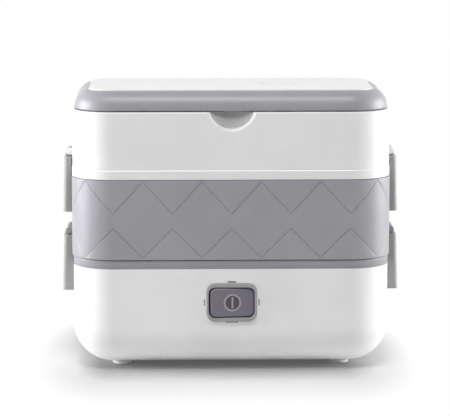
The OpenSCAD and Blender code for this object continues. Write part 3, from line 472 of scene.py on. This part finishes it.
# Stainless steel: a warm, bright grey that mirrors the room in long blurred streaks.
stainless = brushed("brushed_stainless_steel", "#C8C7C4", 0.24, 0.7)
sheet = 0.8
for name, node, body, width, depth, corner, lap, top, deep, bend in (
        ("drawn_pan", "water_pan", "base", 146.0, 70.0, 16.0, 5.0, 79.3, 13.5, 6.0),
        ("drawn_lower_bowl", "lower_bowl", "lower_bowl", 185.6, 84.6, 18.0, 4.5, 137.05, 48.0, 8.0),
        ("drawn_upper_bowl", "upper_bowl", "upper_bowl", 185.6, 84.6, 18.0, 4.5, 186.75, 40.0, 8.0)):
    inner_w, inner_d, inner_r = width - 2 * sheet, depth - 2 * sheet, corner - sheet
    floor_z = top - deep + sheet
    bm = bmesh.new()
    loops = ringed(bm, [(width + 2 * lap, depth + 2 * lap, corner + lap, top, 0),
                        (inner_w, inner_d, inner_r, top, 0), (inner_w, inner_d, inner_r, floor_z, 0)], closed=False)
    bmesh.ops.edgeloop_fill(bm, edges=loops[2])
    bmesh.ops.recalc_face_normals(bm, faces=bm.faces)
    if [f.normal.z for f in bm.faces if f.calc_center_median().z < floor_z + 0.01][0] < 0:
        bmesh.ops.reverse_faces(bm, faces=bm.faces)
    round_edge(bm, loops[2], bend - sheet, 8)
    round_edge(bm, loops[1], 1.2, 4)
    bmesh.ops.solidify(bm, geom=bm.faces[:], thickness=sheet)
    settle(name, bm, stainless, body, [node], edge=0.25)


# The heating parts inside the base: an extruded aluminium block under the pan, held by steel straps, with a
# thermostat, a thermal fuse and the leads. They only show when the base is cut open.
# Aluminium is a dull silver, nylon a soft black, brass a warm yellow metal, and the leads' PVC a faded cream.
aluminium = plain("extruded_aluminium", "#C4C6C8", 0.35, 1.0, 0.8, 0.15)
black_nylon = plain("black_nylon", "#1C1C1E", 0.45)
brass = plain("bright_brass", "#D9B25C", 0.3, 1.0, 0.3, 0.08)
lead_pvc = plain("lead_pvc", "#DAD3C4", 0.5)
dress(aluminium, "aluminium", "heater_block")
dress(black_nylon, "black_plastic", "thermostat", "switch_base")
dress(brass, "brass", "thermal_fuse", "switch_terminals", "inlet_pins")
dress(lead_pvc, "wire_pvc", "lead_wires")
dress(silicone, "silicone", "pan_gasket", "lower_gasket", "upper_gasket", "lid_gasket", "vent_seal")


# The inlet: a black nylon socket with two brass pins, pushed through the back wall of the niche on the right.
dress(black_nylon, "black_plastic", "inlet_socket")


# The switch: a flat white surround with three small slots, dark with painted shade, a grey bezel with a release tab
# below it, and a smoked rocker in a black gap. The rocker carries a plain on-off sign, and rests with one half
# pressed in.
def framed(bm, rings, axes, closed=True, steps=8):
    """Joins rings of (width, height, corner, centre, fillet) that stand one behind another into one wall."""
    loops = [window(bm, w, h, r, c, axes, steps) for w, h, r, c, _ in rings]
    for one, other in zip(loops, loops[1:] + loops[:1] if closed else loops[1:]):
        bmesh.ops.bridge_loops(bm, edges=one + other)
    bmesh.ops.recalc_face_normals(bm, faces=bm.faces)
    for loop, ring in zip(loops, rings):
        if ring[4]:
            round_edge(bm, loop, ring[4], 4)
    return loops


bezel_w, bezel_h, bezel_r = 36.9, 28.4, 6.5
gap_w, gap_h, gap_r = 33.4, 22.4, 4.6
surround_w, surround_h, surround_r = 43.2, 32.0, 8
surround_t, bezel_t, gap_deep, gap_wall = 0.5, 1.7, 10, 0.9
mark_t, mark_sunk = 0.3, 0.3


def at_switch(y):
    """The middle of the switch at a depth."""
    return 0, y, mouth_z


bm = bmesh.new()
plate_y = front_y - surround_t
edges = window(bm, surround_w, surround_h, surround_r, at_switch(plate_y), FRONT, 8)
edges += window(bm, bezel_w + 0.2, bezel_h + 0.2, bezel_r + 0.1, at_switch(plate_y), FRONT, 8)
marks = [(0, surround_h / 2 - 0.7, 6.0, 1.0)] + [(side * (surround_w / 2 - 1.6), 0, 1.0, 4.8) for side in (-1, 1)]
for x, z, width, height in marks:
    edges += window(bm, width, height, 0.3, (x, plate_y, mouth_z + z), FRONT, 2)
fill(bm, edges, 0.1)
bmesh.ops.recalc_face_normals(bm, faces=bm.faces)
if bm.faces[:][0].normal.y > 0:
    bmesh.ops.reverse_faces(bm, faces=bm.faces)
bmesh.ops.solidify(bm, geom=bm.faces[:], thickness=surround_t - 0.02)
settle("index_surround", bm, white_abs, "base", ["switch_surround"], edge=0.25)

# Painted shade: flat pads sunk in the slots stand for the shade inside them, dark above the bezel and faint grey
# beside it.
for name, colour, spots in (("top_mark", "#3A3A3C", marks[:1]), ("side_marks", "#9A9A9C", marks[1:])):
    bm = bmesh.new()
    for x, z, width, height in spots:
        pad = bmesh.ops.create_cube(bm, size=1)["verts"]
        bmesh.ops.scale(bm, vec=(width, mark_t, height), verts=pad)
        bmesh.ops.translate(bm, vec=(x, plate_y + mark_sunk, mouth_z + z), verts=pad)
    settle(name, bm, plain("painted_shade_" + name, colour, 0.5), "base", edge=0)

# Matt ABS: a plain mid grey with almost no highlight.
bezel_grey = moulded("matt_grey_abs", "#98989A", "#9E9EA0", 0.42, 0.4, 0.1)
bm = bmesh.new()
framed(bm, [(bezel_w, bezel_h, bezel_r, at_switch(front_y), 0),
            (bezel_w, bezel_h, bezel_r, at_switch(front_y - bezel_t), 0.8),
            (gap_w, gap_h, gap_r, at_switch(front_y - bezel_t), 0.5),
            (gap_w, gap_h, gap_r, at_switch(front_y + gap_deep), 0),
            (gap_w + 2 * gap_wall, gap_h + 2 * gap_wall, gap_r + gap_wall, at_switch(front_y + gap_deep), 0),
            (gap_w + 2 * gap_wall, gap_h + 2 * gap_wall, gap_r + gap_wall, at_switch(front_y), 0)], FRONT)
settle("switch_frame", bm, bezel_grey, "base", ["switch_bezel"], edge=0)
tab_w, tab_t, tab_h = 9.6, 1.3, 2.4
bm = bmesh.new()
tab = bmesh.ops.create_cube(bm, size=1)["verts"]
bmesh.ops.scale(bm, vec=(tab_w, tab_t, tab_h), verts=tab)
bmesh.ops.translate(bm, vec=(0, front_y - 0.6, mouth_z - bezel_h / 2 + 0.3), verts=tab)
settle("release_tab", bm, bezel_grey, "base", edge=0.3)

pivot_y = front_y + 3.4
rocker_w, rocker_h, rocker_r, rocker_face, rocker_back = 32.0, 21.2, 4.2, 5.0, 3
rocker_tilt = math.radians(5)
# Smoked polycarbonate: a hard, dusky violet-grey cap with a soft gloss.
smoked = plain("smoked_polycarbonate", "#746F7B", 0.3, grain_mm=0.7, dents=0.2)
turn_rocker = Matrix.Translation((0, pivot_y, mouth_z)) @ Matrix.Rotation(rocker_tilt, 4, "Z")
bm = bmesh.new()
loops = framed(bm, [(rocker_w, rocker_h, rocker_r, (0, y, 0), 0) for y in (rocker_back, -rocker_face)], FRONT,
               closed=False)
for loop in loops:
    bmesh.ops.edgeloop_fill(bm, edges=loop)
bmesh.ops.recalc_face_normals(bm, faces=bm.faces)
round_edge(bm, loops[1], 1.1, 4)
bmesh.ops.transform(bm, matrix=turn_rocker, verts=bm.verts)
settle("smoked_rocker", bm, smoked, "rocker", ["switch_rocker"], edge=0)

sign_r, sign_line, sign_rise, lens_rise = 5.8, 1.3, 0.2, 0.06
# The sign is printed in a pale rose-grey ink, on a lens that stays dark while its lamp is off.
printed = plain("painted_shade_sign", "#A89DA6", 0.5)
bm = bmesh.new()
inside, outside = sign_r - sign_line / 2, sign_r + sign_line / 2
lathe(bm, [(inside, 0), (outside, 0), (outside, sign_rise), (inside, sign_rise), (inside, 0)],
      (0, -rocker_face, 0), (0, -1, 0), 48)
bar_verts = bmesh.ops.create_cube(bm, size=1)["verts"]
bmesh.ops.scale(bm, vec=(sign_line, sign_rise, 1.4 * sign_r), verts=bar_verts)
bmesh.ops.translate(bm, vec=(0, -rocker_face - sign_rise / 2, 0), verts=bar_verts)
bmesh.ops.transform(bm, matrix=turn_rocker, verts=bm.verts)
settle("on_off_sign", bm, printed, "rocker", edge=0)

dark_lens = plain("dark_lens", "#4A444E", 0.3)
bm = bmesh.new()
lathe(bm, [(0, lens_rise), (sign_r - 0.2, lens_rise), (sign_r - 0.2, 0)], (0, -rocker_face, 0), (0, -1, 0))
bmesh.ops.transform(bm, matrix=turn_rocker, verts=bm.verts)
settle("sign_lens", bm, dark_lens, "rocker", edge=0)


# The lower tier: a tray moulded in the same satin grey, whose wall carries two zig-zag lines pressed in.
# It drops into the collar by a skirt. A ledge below its rim holds the bowl and lets steam up at both ends.
stack_w, stack_d, stack_r = 235.0, 116.0, 31.0
wave_count, turn_parts = 15, 10
wave_side = (2 * (stack_w + stack_d) - 8 * stack_r + math.tau * stack_r) / (2 * wave_count)


def around(distance, inset):
    """The point on the stack's outline, set in, at a distance from the middle of the front, going right."""
    across, along, bend = stack_w / 2 - stack_r, stack_d - 2 * stack_r, math.pi / 2 * stack_r
    place, heading = Vector((0, -stack_d / 2)), 0.0
    for length in (across, -bend, along, -bend, 2 * across, -bend, along, -bend, across):
        step = min(distance, abs(length))
        inward = Vector((-math.sin(heading), math.cos(heading)))
        if length < 0:
            middle = place + stack_r * inward
            heading += step / stack_r
            inward = Vector((-math.sin(heading), math.cos(heading)))
            place = middle - stack_r * inward
        else:
            place = place + step * Vector((math.cos(heading), math.sin(heading)))
        distance -= step
        if distance <= 1e-9:
            break
    return place + inset * inward


def zig_zag(column, even, odd):
    """The height of a zig-zag line at a column of the wall, from the heights of its even and odd turns."""
    turn, part = divmod(column, turn_parts)
    low, high = (even, odd) if turn % 2 == 0 else (odd, even)
    return low + (high - low) * part / turn_parts


def ledge(bm, upper_rim, lower_rim, top, thickness=2.4):
    """Closes a tier inside two outlines by a ledge that has a hole for a bowl and steam slots at its ends."""
    slot_w, slot_d, slot_x, slot_step = 4, 13, 101.8, 19
    holes = [(186.4, 85.4, 18.4, 0, 0)]
    holes += [(slot_w, slot_d, 1.98, side * slot_x, row * slot_step) for side in (-1, 1) for row in (-1, 0, 1)]
    over = [window(bm, w, d, r, (x, y, top), LEVEL, 8) for w, d, r, x, y in holes]
    under = [window(bm, w, d, r, (x, y, top - thickness), LEVEL, 8) for w, d, r, x, y in holes]
    fill(bm, upper_rim + sum(over, []))
    fill(bm, lower_rim + sum(under, []))
    for one, other in zip(over, under):
        bmesh.ops.bridge_loops(bm, edges=one + other)


def plate(bm, width, height, corner, centre, axes, thickness, edge=0.0, steps=6):
    """A flat plate with round corners, square to two axes, whose rims may be rounded."""
    outward = Vector(axes[0]).cross(Vector(axes[1]))
    places = [Vector(centre) + side * thickness / 2 * outward for side in (-1, 1)]
    loops = [window(bm, width, height, corner, place, axes, steps) for place in places]
    faces = bmesh.ops.bridge_loops(bm, edges=loops[0] + loops[1])["faces"]
    for loop in loops:
        faces += bmesh.ops.edgeloop_fill(bm, edges=loop)["faces"]
    bmesh.ops.recalc_face_normals(bm, faces=faces)
    if edge:
        round_edge(bm, loops[0] + loops[1], edge, 2)


ear_out, ear_r, ear_t, ear_y = 2.7, 2.3, 4.0, 11.4


def latch_ears(bm, wall_x, height):
    """The two pairs of ears that carry a tier's latches."""
    for side in (-1, 1):
        for end in (-1, 1):
            plate(bm, ear_out + ear_r + 3, 2 * ear_r, ear_r - 0.02,
                  (side * (wall_x + (ear_out + ear_r - 3) / 2), end * ear_y, height), FRONT, ear_t, 0.3)


line_w, line_deep = 0.8, 0.35
tier_low, tier_high, ledge_z, tier_wall = 83.65, 142.2, 136.2, 2.4
rim_in, skirt_in, skirt_back, skirt_high = 7.0, 7.4, 9.6, 7.6
skirt_z, lower_latch_z, lower_bead_z = 78.8, 99.0, 127.4
rows = [(rim_in, ledge_z, None), (rim_in, tier_high, None), (0.0, tier_high, None)]
for even, odd in ((117.5, 141.2), (107.0, 85.0)):
    upright = line_w / 2 / math.cos(math.atan2(abs(odd - even), wave_side))
    for share, depth in ((1.3, 0), (0.7, line_deep), (-0.7, line_deep), (-1.3, 0)):
        rows.append((depth, share * upright, (even, odd)))
rows += [(0.0, tier_low, None), (skirt_in, tier_low, None), (skirt_in, skirt_z, None), (skirt_back, skirt_z, None),
         (skirt_back, skirt_z + skirt_high, None), (tier_wall, skirt_z + skirt_high, None),
         (tier_wall, tier_high - tier_wall, None), (rim_in - tier_wall, tier_high - tier_wall, None),
         (rim_in - tier_wall, ledge_z - tier_wall, None)]
columns = 2 * wave_count * turn_parts
bm = bmesh.new()
wall_rows = []
for inset, height, line in rows:
    row = []
    for column in range(columns):
        x, y = around(column * wave_side / turn_parts, inset)
        z = height + (zig_zag(column, *line) if line else 0)
        row.append(bm.verts.new((x, y, z)))
    wall_rows.append(row)
for above, below in zip(wall_rows, wall_rows[1:]):
    for one in range(columns):
        two = (one + 1) % columns
        bm.faces.new((above[one], above[two], below[two], below[one]))


def row_edges(bm, row):
    """The edges of a closed row of vertices."""
    return [bm.edges.get((one, two)) for one, two in zip(row, row[1:] + row[:1])]


top_rim, foot_rim = row_edges(bm, wall_rows[0]), row_edges(bm, wall_rows[-1])
hard = [row_edges(bm, wall_rows[i]) for i in (1, 2, 11, 12, 13, 14)]
ledge(bm, top_rim, foot_rim, ledge_z)
bmesh.ops.recalc_face_normals(bm, faces=bm.faces)
round_edge(bm, sum(hard, []), 0.35, 2)
latch_ears(bm, stack_w / 2, lower_latch_z)
for side in (-1, 1):
    bar(bm, bead_len, bead_r, (side * stack_w / 2, 0, lower_bead_z), (0, 1, 0))
settle("zig_zag_tier", bm, grey_pp, "lower_tier", ["lower_tier_shell"], edge=0)


# The upper tier: the same tray in glossy white ABS, a little smaller, with a foot band and a rounded rim.
# A round notch is scooped out of its front for a fingertip, and two pairs of hinge ears stand at its back.
def prism(bm, outline_points, start, length):
    """Extrudes an outline of (Y, Z) points along X from a start."""
    face = bm.faces.new([bm.verts.new((start, y, z)) for y, z in outline_points])
    moved = bmesh.ops.extrude_face_region(bm, geom=[face], use_keep_orig=True)["geom"]
    bmesh.ops.translate(bm, vec=(length, 0, 0), verts=[v for v in moved if isinstance(v, bmesh.types.BMVert)])
    faces = {f for item in moved if isinstance(item, bmesh.types.BMVert) for f in item.link_faces} | {face}
    bmesh.ops.recalc_face_normals(bm, faces=in_order(bm, faces))
    return face


def eye(y, z, radius, first, last, steps=20):
    """Points on an arc about a hinge axis, between two angles in degrees."""
    angles = [math.radians(first + (last - first) * i / steps) for i in range(steps + 1)]
    return [(y + radius * math.cos(a), z + radius * math.sin(a)) for a in angles]


upper_low, upper_high, band_top, upper_ledge_z = 142.6, 191.9, 149.5, 185.9
upper_in, band_in, band_step, row_gap = 0.7, 0.3, 0.5, 0.05
upper_skirt_z, rim_root, upper_latch_z = 137.7, 177, 157.9
bm = bmesh.new()
loops = ringed(bm, [outline(rim_in, upper_ledge_z), outline(rim_in, upper_high), outline(upper_in, upper_high),
                    outline(upper_in, band_top + row_gap), outline(upper_in, band_top),
                    outline(band_in, band_top - band_step), outline(band_in, band_top - band_step - row_gap),
                    outline(band_in, upper_low), outline(skirt_in, upper_low), outline(skirt_in, upper_skirt_z),
                    outline(skirt_back, upper_skirt_z), outline(skirt_back, upper_skirt_z + skirt_high),
                    outline(upper_in + tier_wall, upper_skirt_z + skirt_high),
                    outline(upper_in + tier_wall, rim_root), outline(rim_in - 0.1, rim_root),
                    outline(rim_in - 0.1, upper_ledge_z - tier_wall)], closed=False)
ledge(bm, loops[0], loops[-1], upper_ledge_z)
face_y = -(stack_d / 2 - upper_in)
rim_w = rim_in - upper_in
front = faces_where(bm, lambda c: c.y < face_y + 0.01 and c.z > band_top + 5)[0]
rim = faces_where(bm, lambda c: c.z > upper_high - 0.01 and face_y < c.y < face_y + rim_w and abs(c.x) < 1)[0]
shared = (set(front.edges) & set(rim.edges)).pop()
ends = sorted(shared.verts, key=lambda v: v.co.x)
front_rim, top_rim = [e for e in front.edges if e != shared], [e for e in rim.edges if e != shared]
bmesh.ops.delete(bm, geom=[front, rim], context="FACES_ONLY")
bmesh.ops.delete(bm, geom=[shared], context="EDGES")
notch_r, notch_deep = 18.0, 5.8
notch_z = upper_high + notch_r * math.sin(math.radians(15))
known = set(bm.verts)
lathe(bm, [(notch_r * math.sin(math.radians(a)), notch_deep * math.cos(math.radians(a)))
           for a in (0, 10, 20, 30, 39, 48, 56, 63, 69, 75, 90)], (0, face_y, notch_z), (0, 1, 0), 72)
scoop = [v for v in bm.verts if v not in known]
parts = set(scoop) | {e for v in scoop for e in v.link_edges} | {f for v in scoop for f in v.link_faces}
bmesh.ops.bisect_plane(bm, geom=in_order(bm, parts), dist=1e-4, plane_co=(0, 0, upper_high), plane_no=(0, 0, 1),
                       clear_outer=True)
scoop = [v for v in bm.verts if v not in known]
open_edges = in_order(bm, {e for v in scoop for e in v.link_edges if len(e.link_faces) == 1})
front_arc = [e for e in open_edges if all(v.co.y < face_y + 0.001 for v in e.verts)]
top_arc = [e for e in open_edges if e not in front_arc]
tips = sorted({v for e in front_arc for v in e.verts if v.co.z > upper_high - 0.001}, key=lambda v: v.co.x)
links = [bm.edges.new(pair) for pair in zip(ends, tips)]
bmesh.ops.edgeloop_fill(bm, edges=front_rim + links + front_arc)
bmesh.ops.edgeloop_fill(bm, edges=top_rim + links + top_arc)
bmesh.ops.recalc_face_normals(bm, faces=bm.faces)
rim_round = 1.1
round_edge(bm, [e for e in loops[2] if e.is_valid] + links + front_arc, rim_round, 5)
round_edge(bm, loops[7], 0.3, 2)
round_edge(bm, [e for e in bm.edges if all(v.co.z > upper_high - 0.001 for v in e.verts)
                and len(e.link_faces) == 2 and abs(e.calc_face_angle(0)) > 0.9], 0.2, 2)
flats = [f for f in bm.faces if len(f.verts) > 20 and f.calc_center_median().z > band_top]
bmesh.ops.inset_region(bm, faces=flats, thickness=0.3, use_boundary=True, use_even_offset=True)
latch_ears(bm, stack_w / 2 - upper_in, upper_latch_z)
hinge_x, hinge_y, hinge_z, hinge_r = 62.0, 61.1, 192.5, 3.0
hinge_ear_x, hinge_ear_t, knuckle_w = 10.9, 5, 16
foot = [(hinge_y - 5, hinge_z - 8.9)] + eye(hinge_y, hinge_z, hinge_r, -50, 191) + [(hinge_y - 5, hinge_z - 0.6)]
for side in (-1, 1):
    for end in (-1, 1):
        prism(bm, foot, side * hinge_x + end * hinge_ear_x - hinge_ear_t / 2, hinge_ear_t)
# Painted shade: the deeper faces of the notch take the second, greyer material.
for face in faces_where(bm, lambda c: face_y + 2.3 < c.y < face_y + 5.9 and rim_root + 1 < c.z < upper_high - 0.25
                        and abs(c.x) < notch_r):
    face.material_index = 1
tier = settle("notched_tier", bm, white_abs, "upper_tier", ["upper_tier_shell"], edge=0)
# Painted shade: the deeper inside of the notch is drawn in a greyer white, which stands for the shade in it, with a
# duller gloss than the wall round it.
tier.data.materials.append(moulded("notch_painted_shade_abs", "#B2B2B4", "#B7B7B9", 0.5, 0.4, 0.1))


# The lid: a satin grey frame with a broad round shoulder, and a flat glossy white plate let into its top.
# Two knuckles at the back turn on steel pins. A liner of natural polypropylene closes the underside.
lid_low, lid_dome, lid_in, lid_round, lid_wall = 192.7, 206.8, 2.5, 13.0, 2.4
arc_z = lid_dome - lid_round
plate_in, plate_low, plate_top, plate_gap = 12.9, 204.9, 207.3, 0.15
seat_w, seat_t = 4, 2
shoulder = math.acos(1 - (plate_in - plate_gap - lid_in) / lid_round)
inner_r = lid_round - lid_wall
under = math.asin((plate_low - seat_t - arc_z) / inner_r)
rings = [outline(lid_in, lid_low)]
rings += [outline(lid_in + lid_round * (1 - math.cos(a)), arc_z + lid_round * math.sin(a))
          for a in (shoulder * i / 16 for i in range(17))]
rings += [outline(plate_in - plate_gap, plate_low), outline(plate_in + seat_w, plate_low),
          outline(plate_in + seat_w, plate_low - seat_t)]
rings += [outline(lid_in + lid_round - inner_r * math.cos(a), arc_z + inner_r * math.sin(a))
          for a in (under * i / 8 for i in range(8, -1, -1))]
rings += [outline(lid_in + lid_wall, lid_low)]
bm = bmesh.new()
ringed(bm, rings, steps=24)
knuckle = eye(hinge_y, hinge_z, hinge_r, 165, 400) + [(hinge_y - 0.6, hinge_z + 4.5), (hinge_y - 7, hinge_z + 4.5),
                                                   (hinge_y - 7, hinge_z + 0.6)]
for side in (-1, 1):
    prism(bm, knuckle, side * hinge_x - knuckle_w / 2, knuckle_w)
settle("shouldered_frame", bm, grey_pp, "lid", ["lid_frame"], edge=0.3)

vent_x, vent_r, tube_r = 36.0, 13.5, 6.5
cap_t, hole_r, hole_ring = 1.6, 0.8, 2.3
bm = bmesh.new()
loops = ringed(bm, [outline(plate_in, plate_low), outline(plate_in, plate_top)], closed=False, steps=24)
wells = [window(bm, 2 * r, 2 * r, r, (vent_x, 0, z), LEVEL, 16)
         for r, z in ((vent_r + 0.2, plate_top), (vent_r + 0.2, plate_top - cap_t), (tube_r + 0.3, plate_top - cap_t),
                      (tube_r + 0.3, plate_low))]
for one, other in zip(wells, wells[1:]):
    bmesh.ops.bridge_loops(bm, edges=one + other)
fill(bm, loops[1] + wells[0])
fill(bm, loops[0] + wells[3])
bmesh.ops.recalc_face_normals(bm, faces=bm.faces)
round_edge(bm, loops[1], 0.9, 5)
round_edge(bm, wells[0], 0.3, 2)
settle("lid_top", bm, white_abs, "lid", ["lid_plate"], edge=0)

bm = bmesh.new()
rims = [window(bm, 2 * vent_r, 2 * vent_r, vent_r, (vent_x, 0, z), LEVEL, 16) for z in (plate_top - cap_t, plate_top)]
holes = [[window(bm, 2 * hole_r, 2 * hole_r, hole_r,
                 (vent_x + hole_ring * math.cos(a), hole_ring * math.sin(a), z), LEVEL, 3)
          for a in (math.tau * i / 6 for i in range(6))] for z in (plate_top - cap_t, plate_top)]
bmesh.ops.bridge_loops(bm, edges=rims[0] + rims[1])
for one, other in zip(*holes):
    bmesh.ops.bridge_loops(bm, edges=one + other)
for loop, gaps in zip(rims, holes):
    fill(bm, loop + sum(gaps, []), 0.2)
bmesh.ops.recalc_face_normals(bm, faces=bm.faces)
round_edge(bm, rims[1], 0.4, 3)
lathe(bm, [(3.5, 0), (3.5, -5), (4.9, -5), (4.9, 0)], (vent_x, 0, plate_top - cap_t))
settle("steam_cap", bm, white_abs, "lid", ["vent_cap"], edge=0)

# Natural polypropylene: undyed, a faintly warm and cloudy white.
natural_pp = plain("natural_polypropylene", "#E6E6E2", 0.42)
dress(natural_pp, "liner_pp", "lid_liner")


# The four latches: pale grey levers that hang from the tiers' ears on steel pins and lean out a little.
# Each is hollow towards the wall and snaps its rib under the bead of the piece below.
# Satin ABS: a neutral pale grey whose outer face turns bright under the side lamps.
latch_grey = moulded("satin_pale_grey_abs", "#949494", "#999999", 0.36, 0.5, 0.08)
latch_w, latch_len, latch_skin, shoulder_z = 38.0, 41.0, 1.8, 3.2
neck_w, hook_z, hook_half, rib_z, rib_t = 18, 16, 13, 31.8, 1.6
top_x, tip_x = ear_out + 1.1, ear_out + 2.12
lean = (tip_x - top_x) / latch_len
tip_z = -shoulder_z - latch_len
for name, side, wall_x, step, height in (
        ("upper_left", -1, stack_w / 2 - upper_in, 0.7, upper_latch_z),
        ("upper_right", 1, stack_w / 2 - upper_in, 0.7, upper_latch_z),
        ("lower_left", -1, stack_w / 2, -1.0, lower_latch_z), ("lower_right", 1, stack_w / 2, -1.0, lower_latch_z)):
    high_x, low_x = -ear_out + max(0.0, step) + 0.4, -ear_out + step + 0.4
    rib_x = -ear_out + step + bead_r + 0.2
    bm = bmesh.new()
    verts = bmesh.ops.create_cube(bm, size=1)["verts"]
    bmesh.ops.scale(bm, vec=(top_x - low_x, latch_w, latch_len), verts=verts)
    bmesh.ops.translate(bm, vec=((top_x + low_x) / 2, 0, -shoulder_z - latch_len / 2), verts=verts)
    bmesh.ops.delete(bm, geom=faces_where(bm, lambda c: c.x < low_x + 0.01), context="FACES_ONLY")
    outer = [e for e in bm.edges if all(v.co.x > top_x - 0.01 for v in e.verts)]
    upright = [e for e in outer if abs(e.verts[0].co.z - e.verts[1].co.z) > 1]
    round_edge(bm, upright, 3, 8)
    bmesh.ops.solidify(bm, geom=bm.faces[:], thickness=latch_skin)
    for point, normal in (((0, 0, -hook_z), (0, 0, 1)), ((0, 0, -hook_z - 0.2), (0, 0, 1)),
                          ((0, -hook_half, 0), (0, 1, 0)), ((0, -hook_half - 0.2, 0), (0, 1, 0)),
                          ((0, hook_half, 0), (0, 1, 0)), ((0, hook_half + 0.2, 0), (0, 1, 0))):
        bmesh.ops.bisect_plane(bm, geom=bm.verts[:] + bm.edges[:] + bm.faces[:], dist=1e-4, plane_co=point,
                               plane_no=normal)
    for vert in bm.verts:
        if vert.co.x < low_x + 0.01:
            end_wall = vert.co.z < tip_z + latch_skin + 0.01 and abs(vert.co.y) < hook_half + 0.1
            vert.co.x = rib_x if end_wall else high_x if vert.co.z > -hook_z - 0.1 else low_x
        else:
            vert.co.x -= (vert.co.z + shoulder_z) * lean
    rib_end = tip_x - 1.2
    for size, centre in (((2 * ear_r, neck_w, shoulder_z + latch_skin), (0, 0, -(shoulder_z + latch_skin) / 2)),
                         ((rib_end - rib_x, bead_len, rib_t), ((rib_end + rib_x) / 2, 0, -rib_z))):
        verts = bmesh.ops.create_cube(bm, size=1)["verts"]
        bmesh.ops.scale(bm, vec=size, verts=verts)
        bmesh.ops.translate(bm, vec=centre, verts=verts)
    bar(bm, neck_w, ear_r, (0, 0, 0), (0, 1, 0))
    bmesh.ops.translate(bm, vec=(wall_x + ear_out, 0, height), verts=bm.verts)
    if side < 0:
        bmesh.ops.scale(bm, vec=(-1, 1, 1), verts=bm.verts)
        bmesh.ops.reverse_faces(bm, faces=bm.faces)
    settle("lever_" + name, bm, latch_grey, "latch_" + name, ["latch_" + name], edge=0.4)
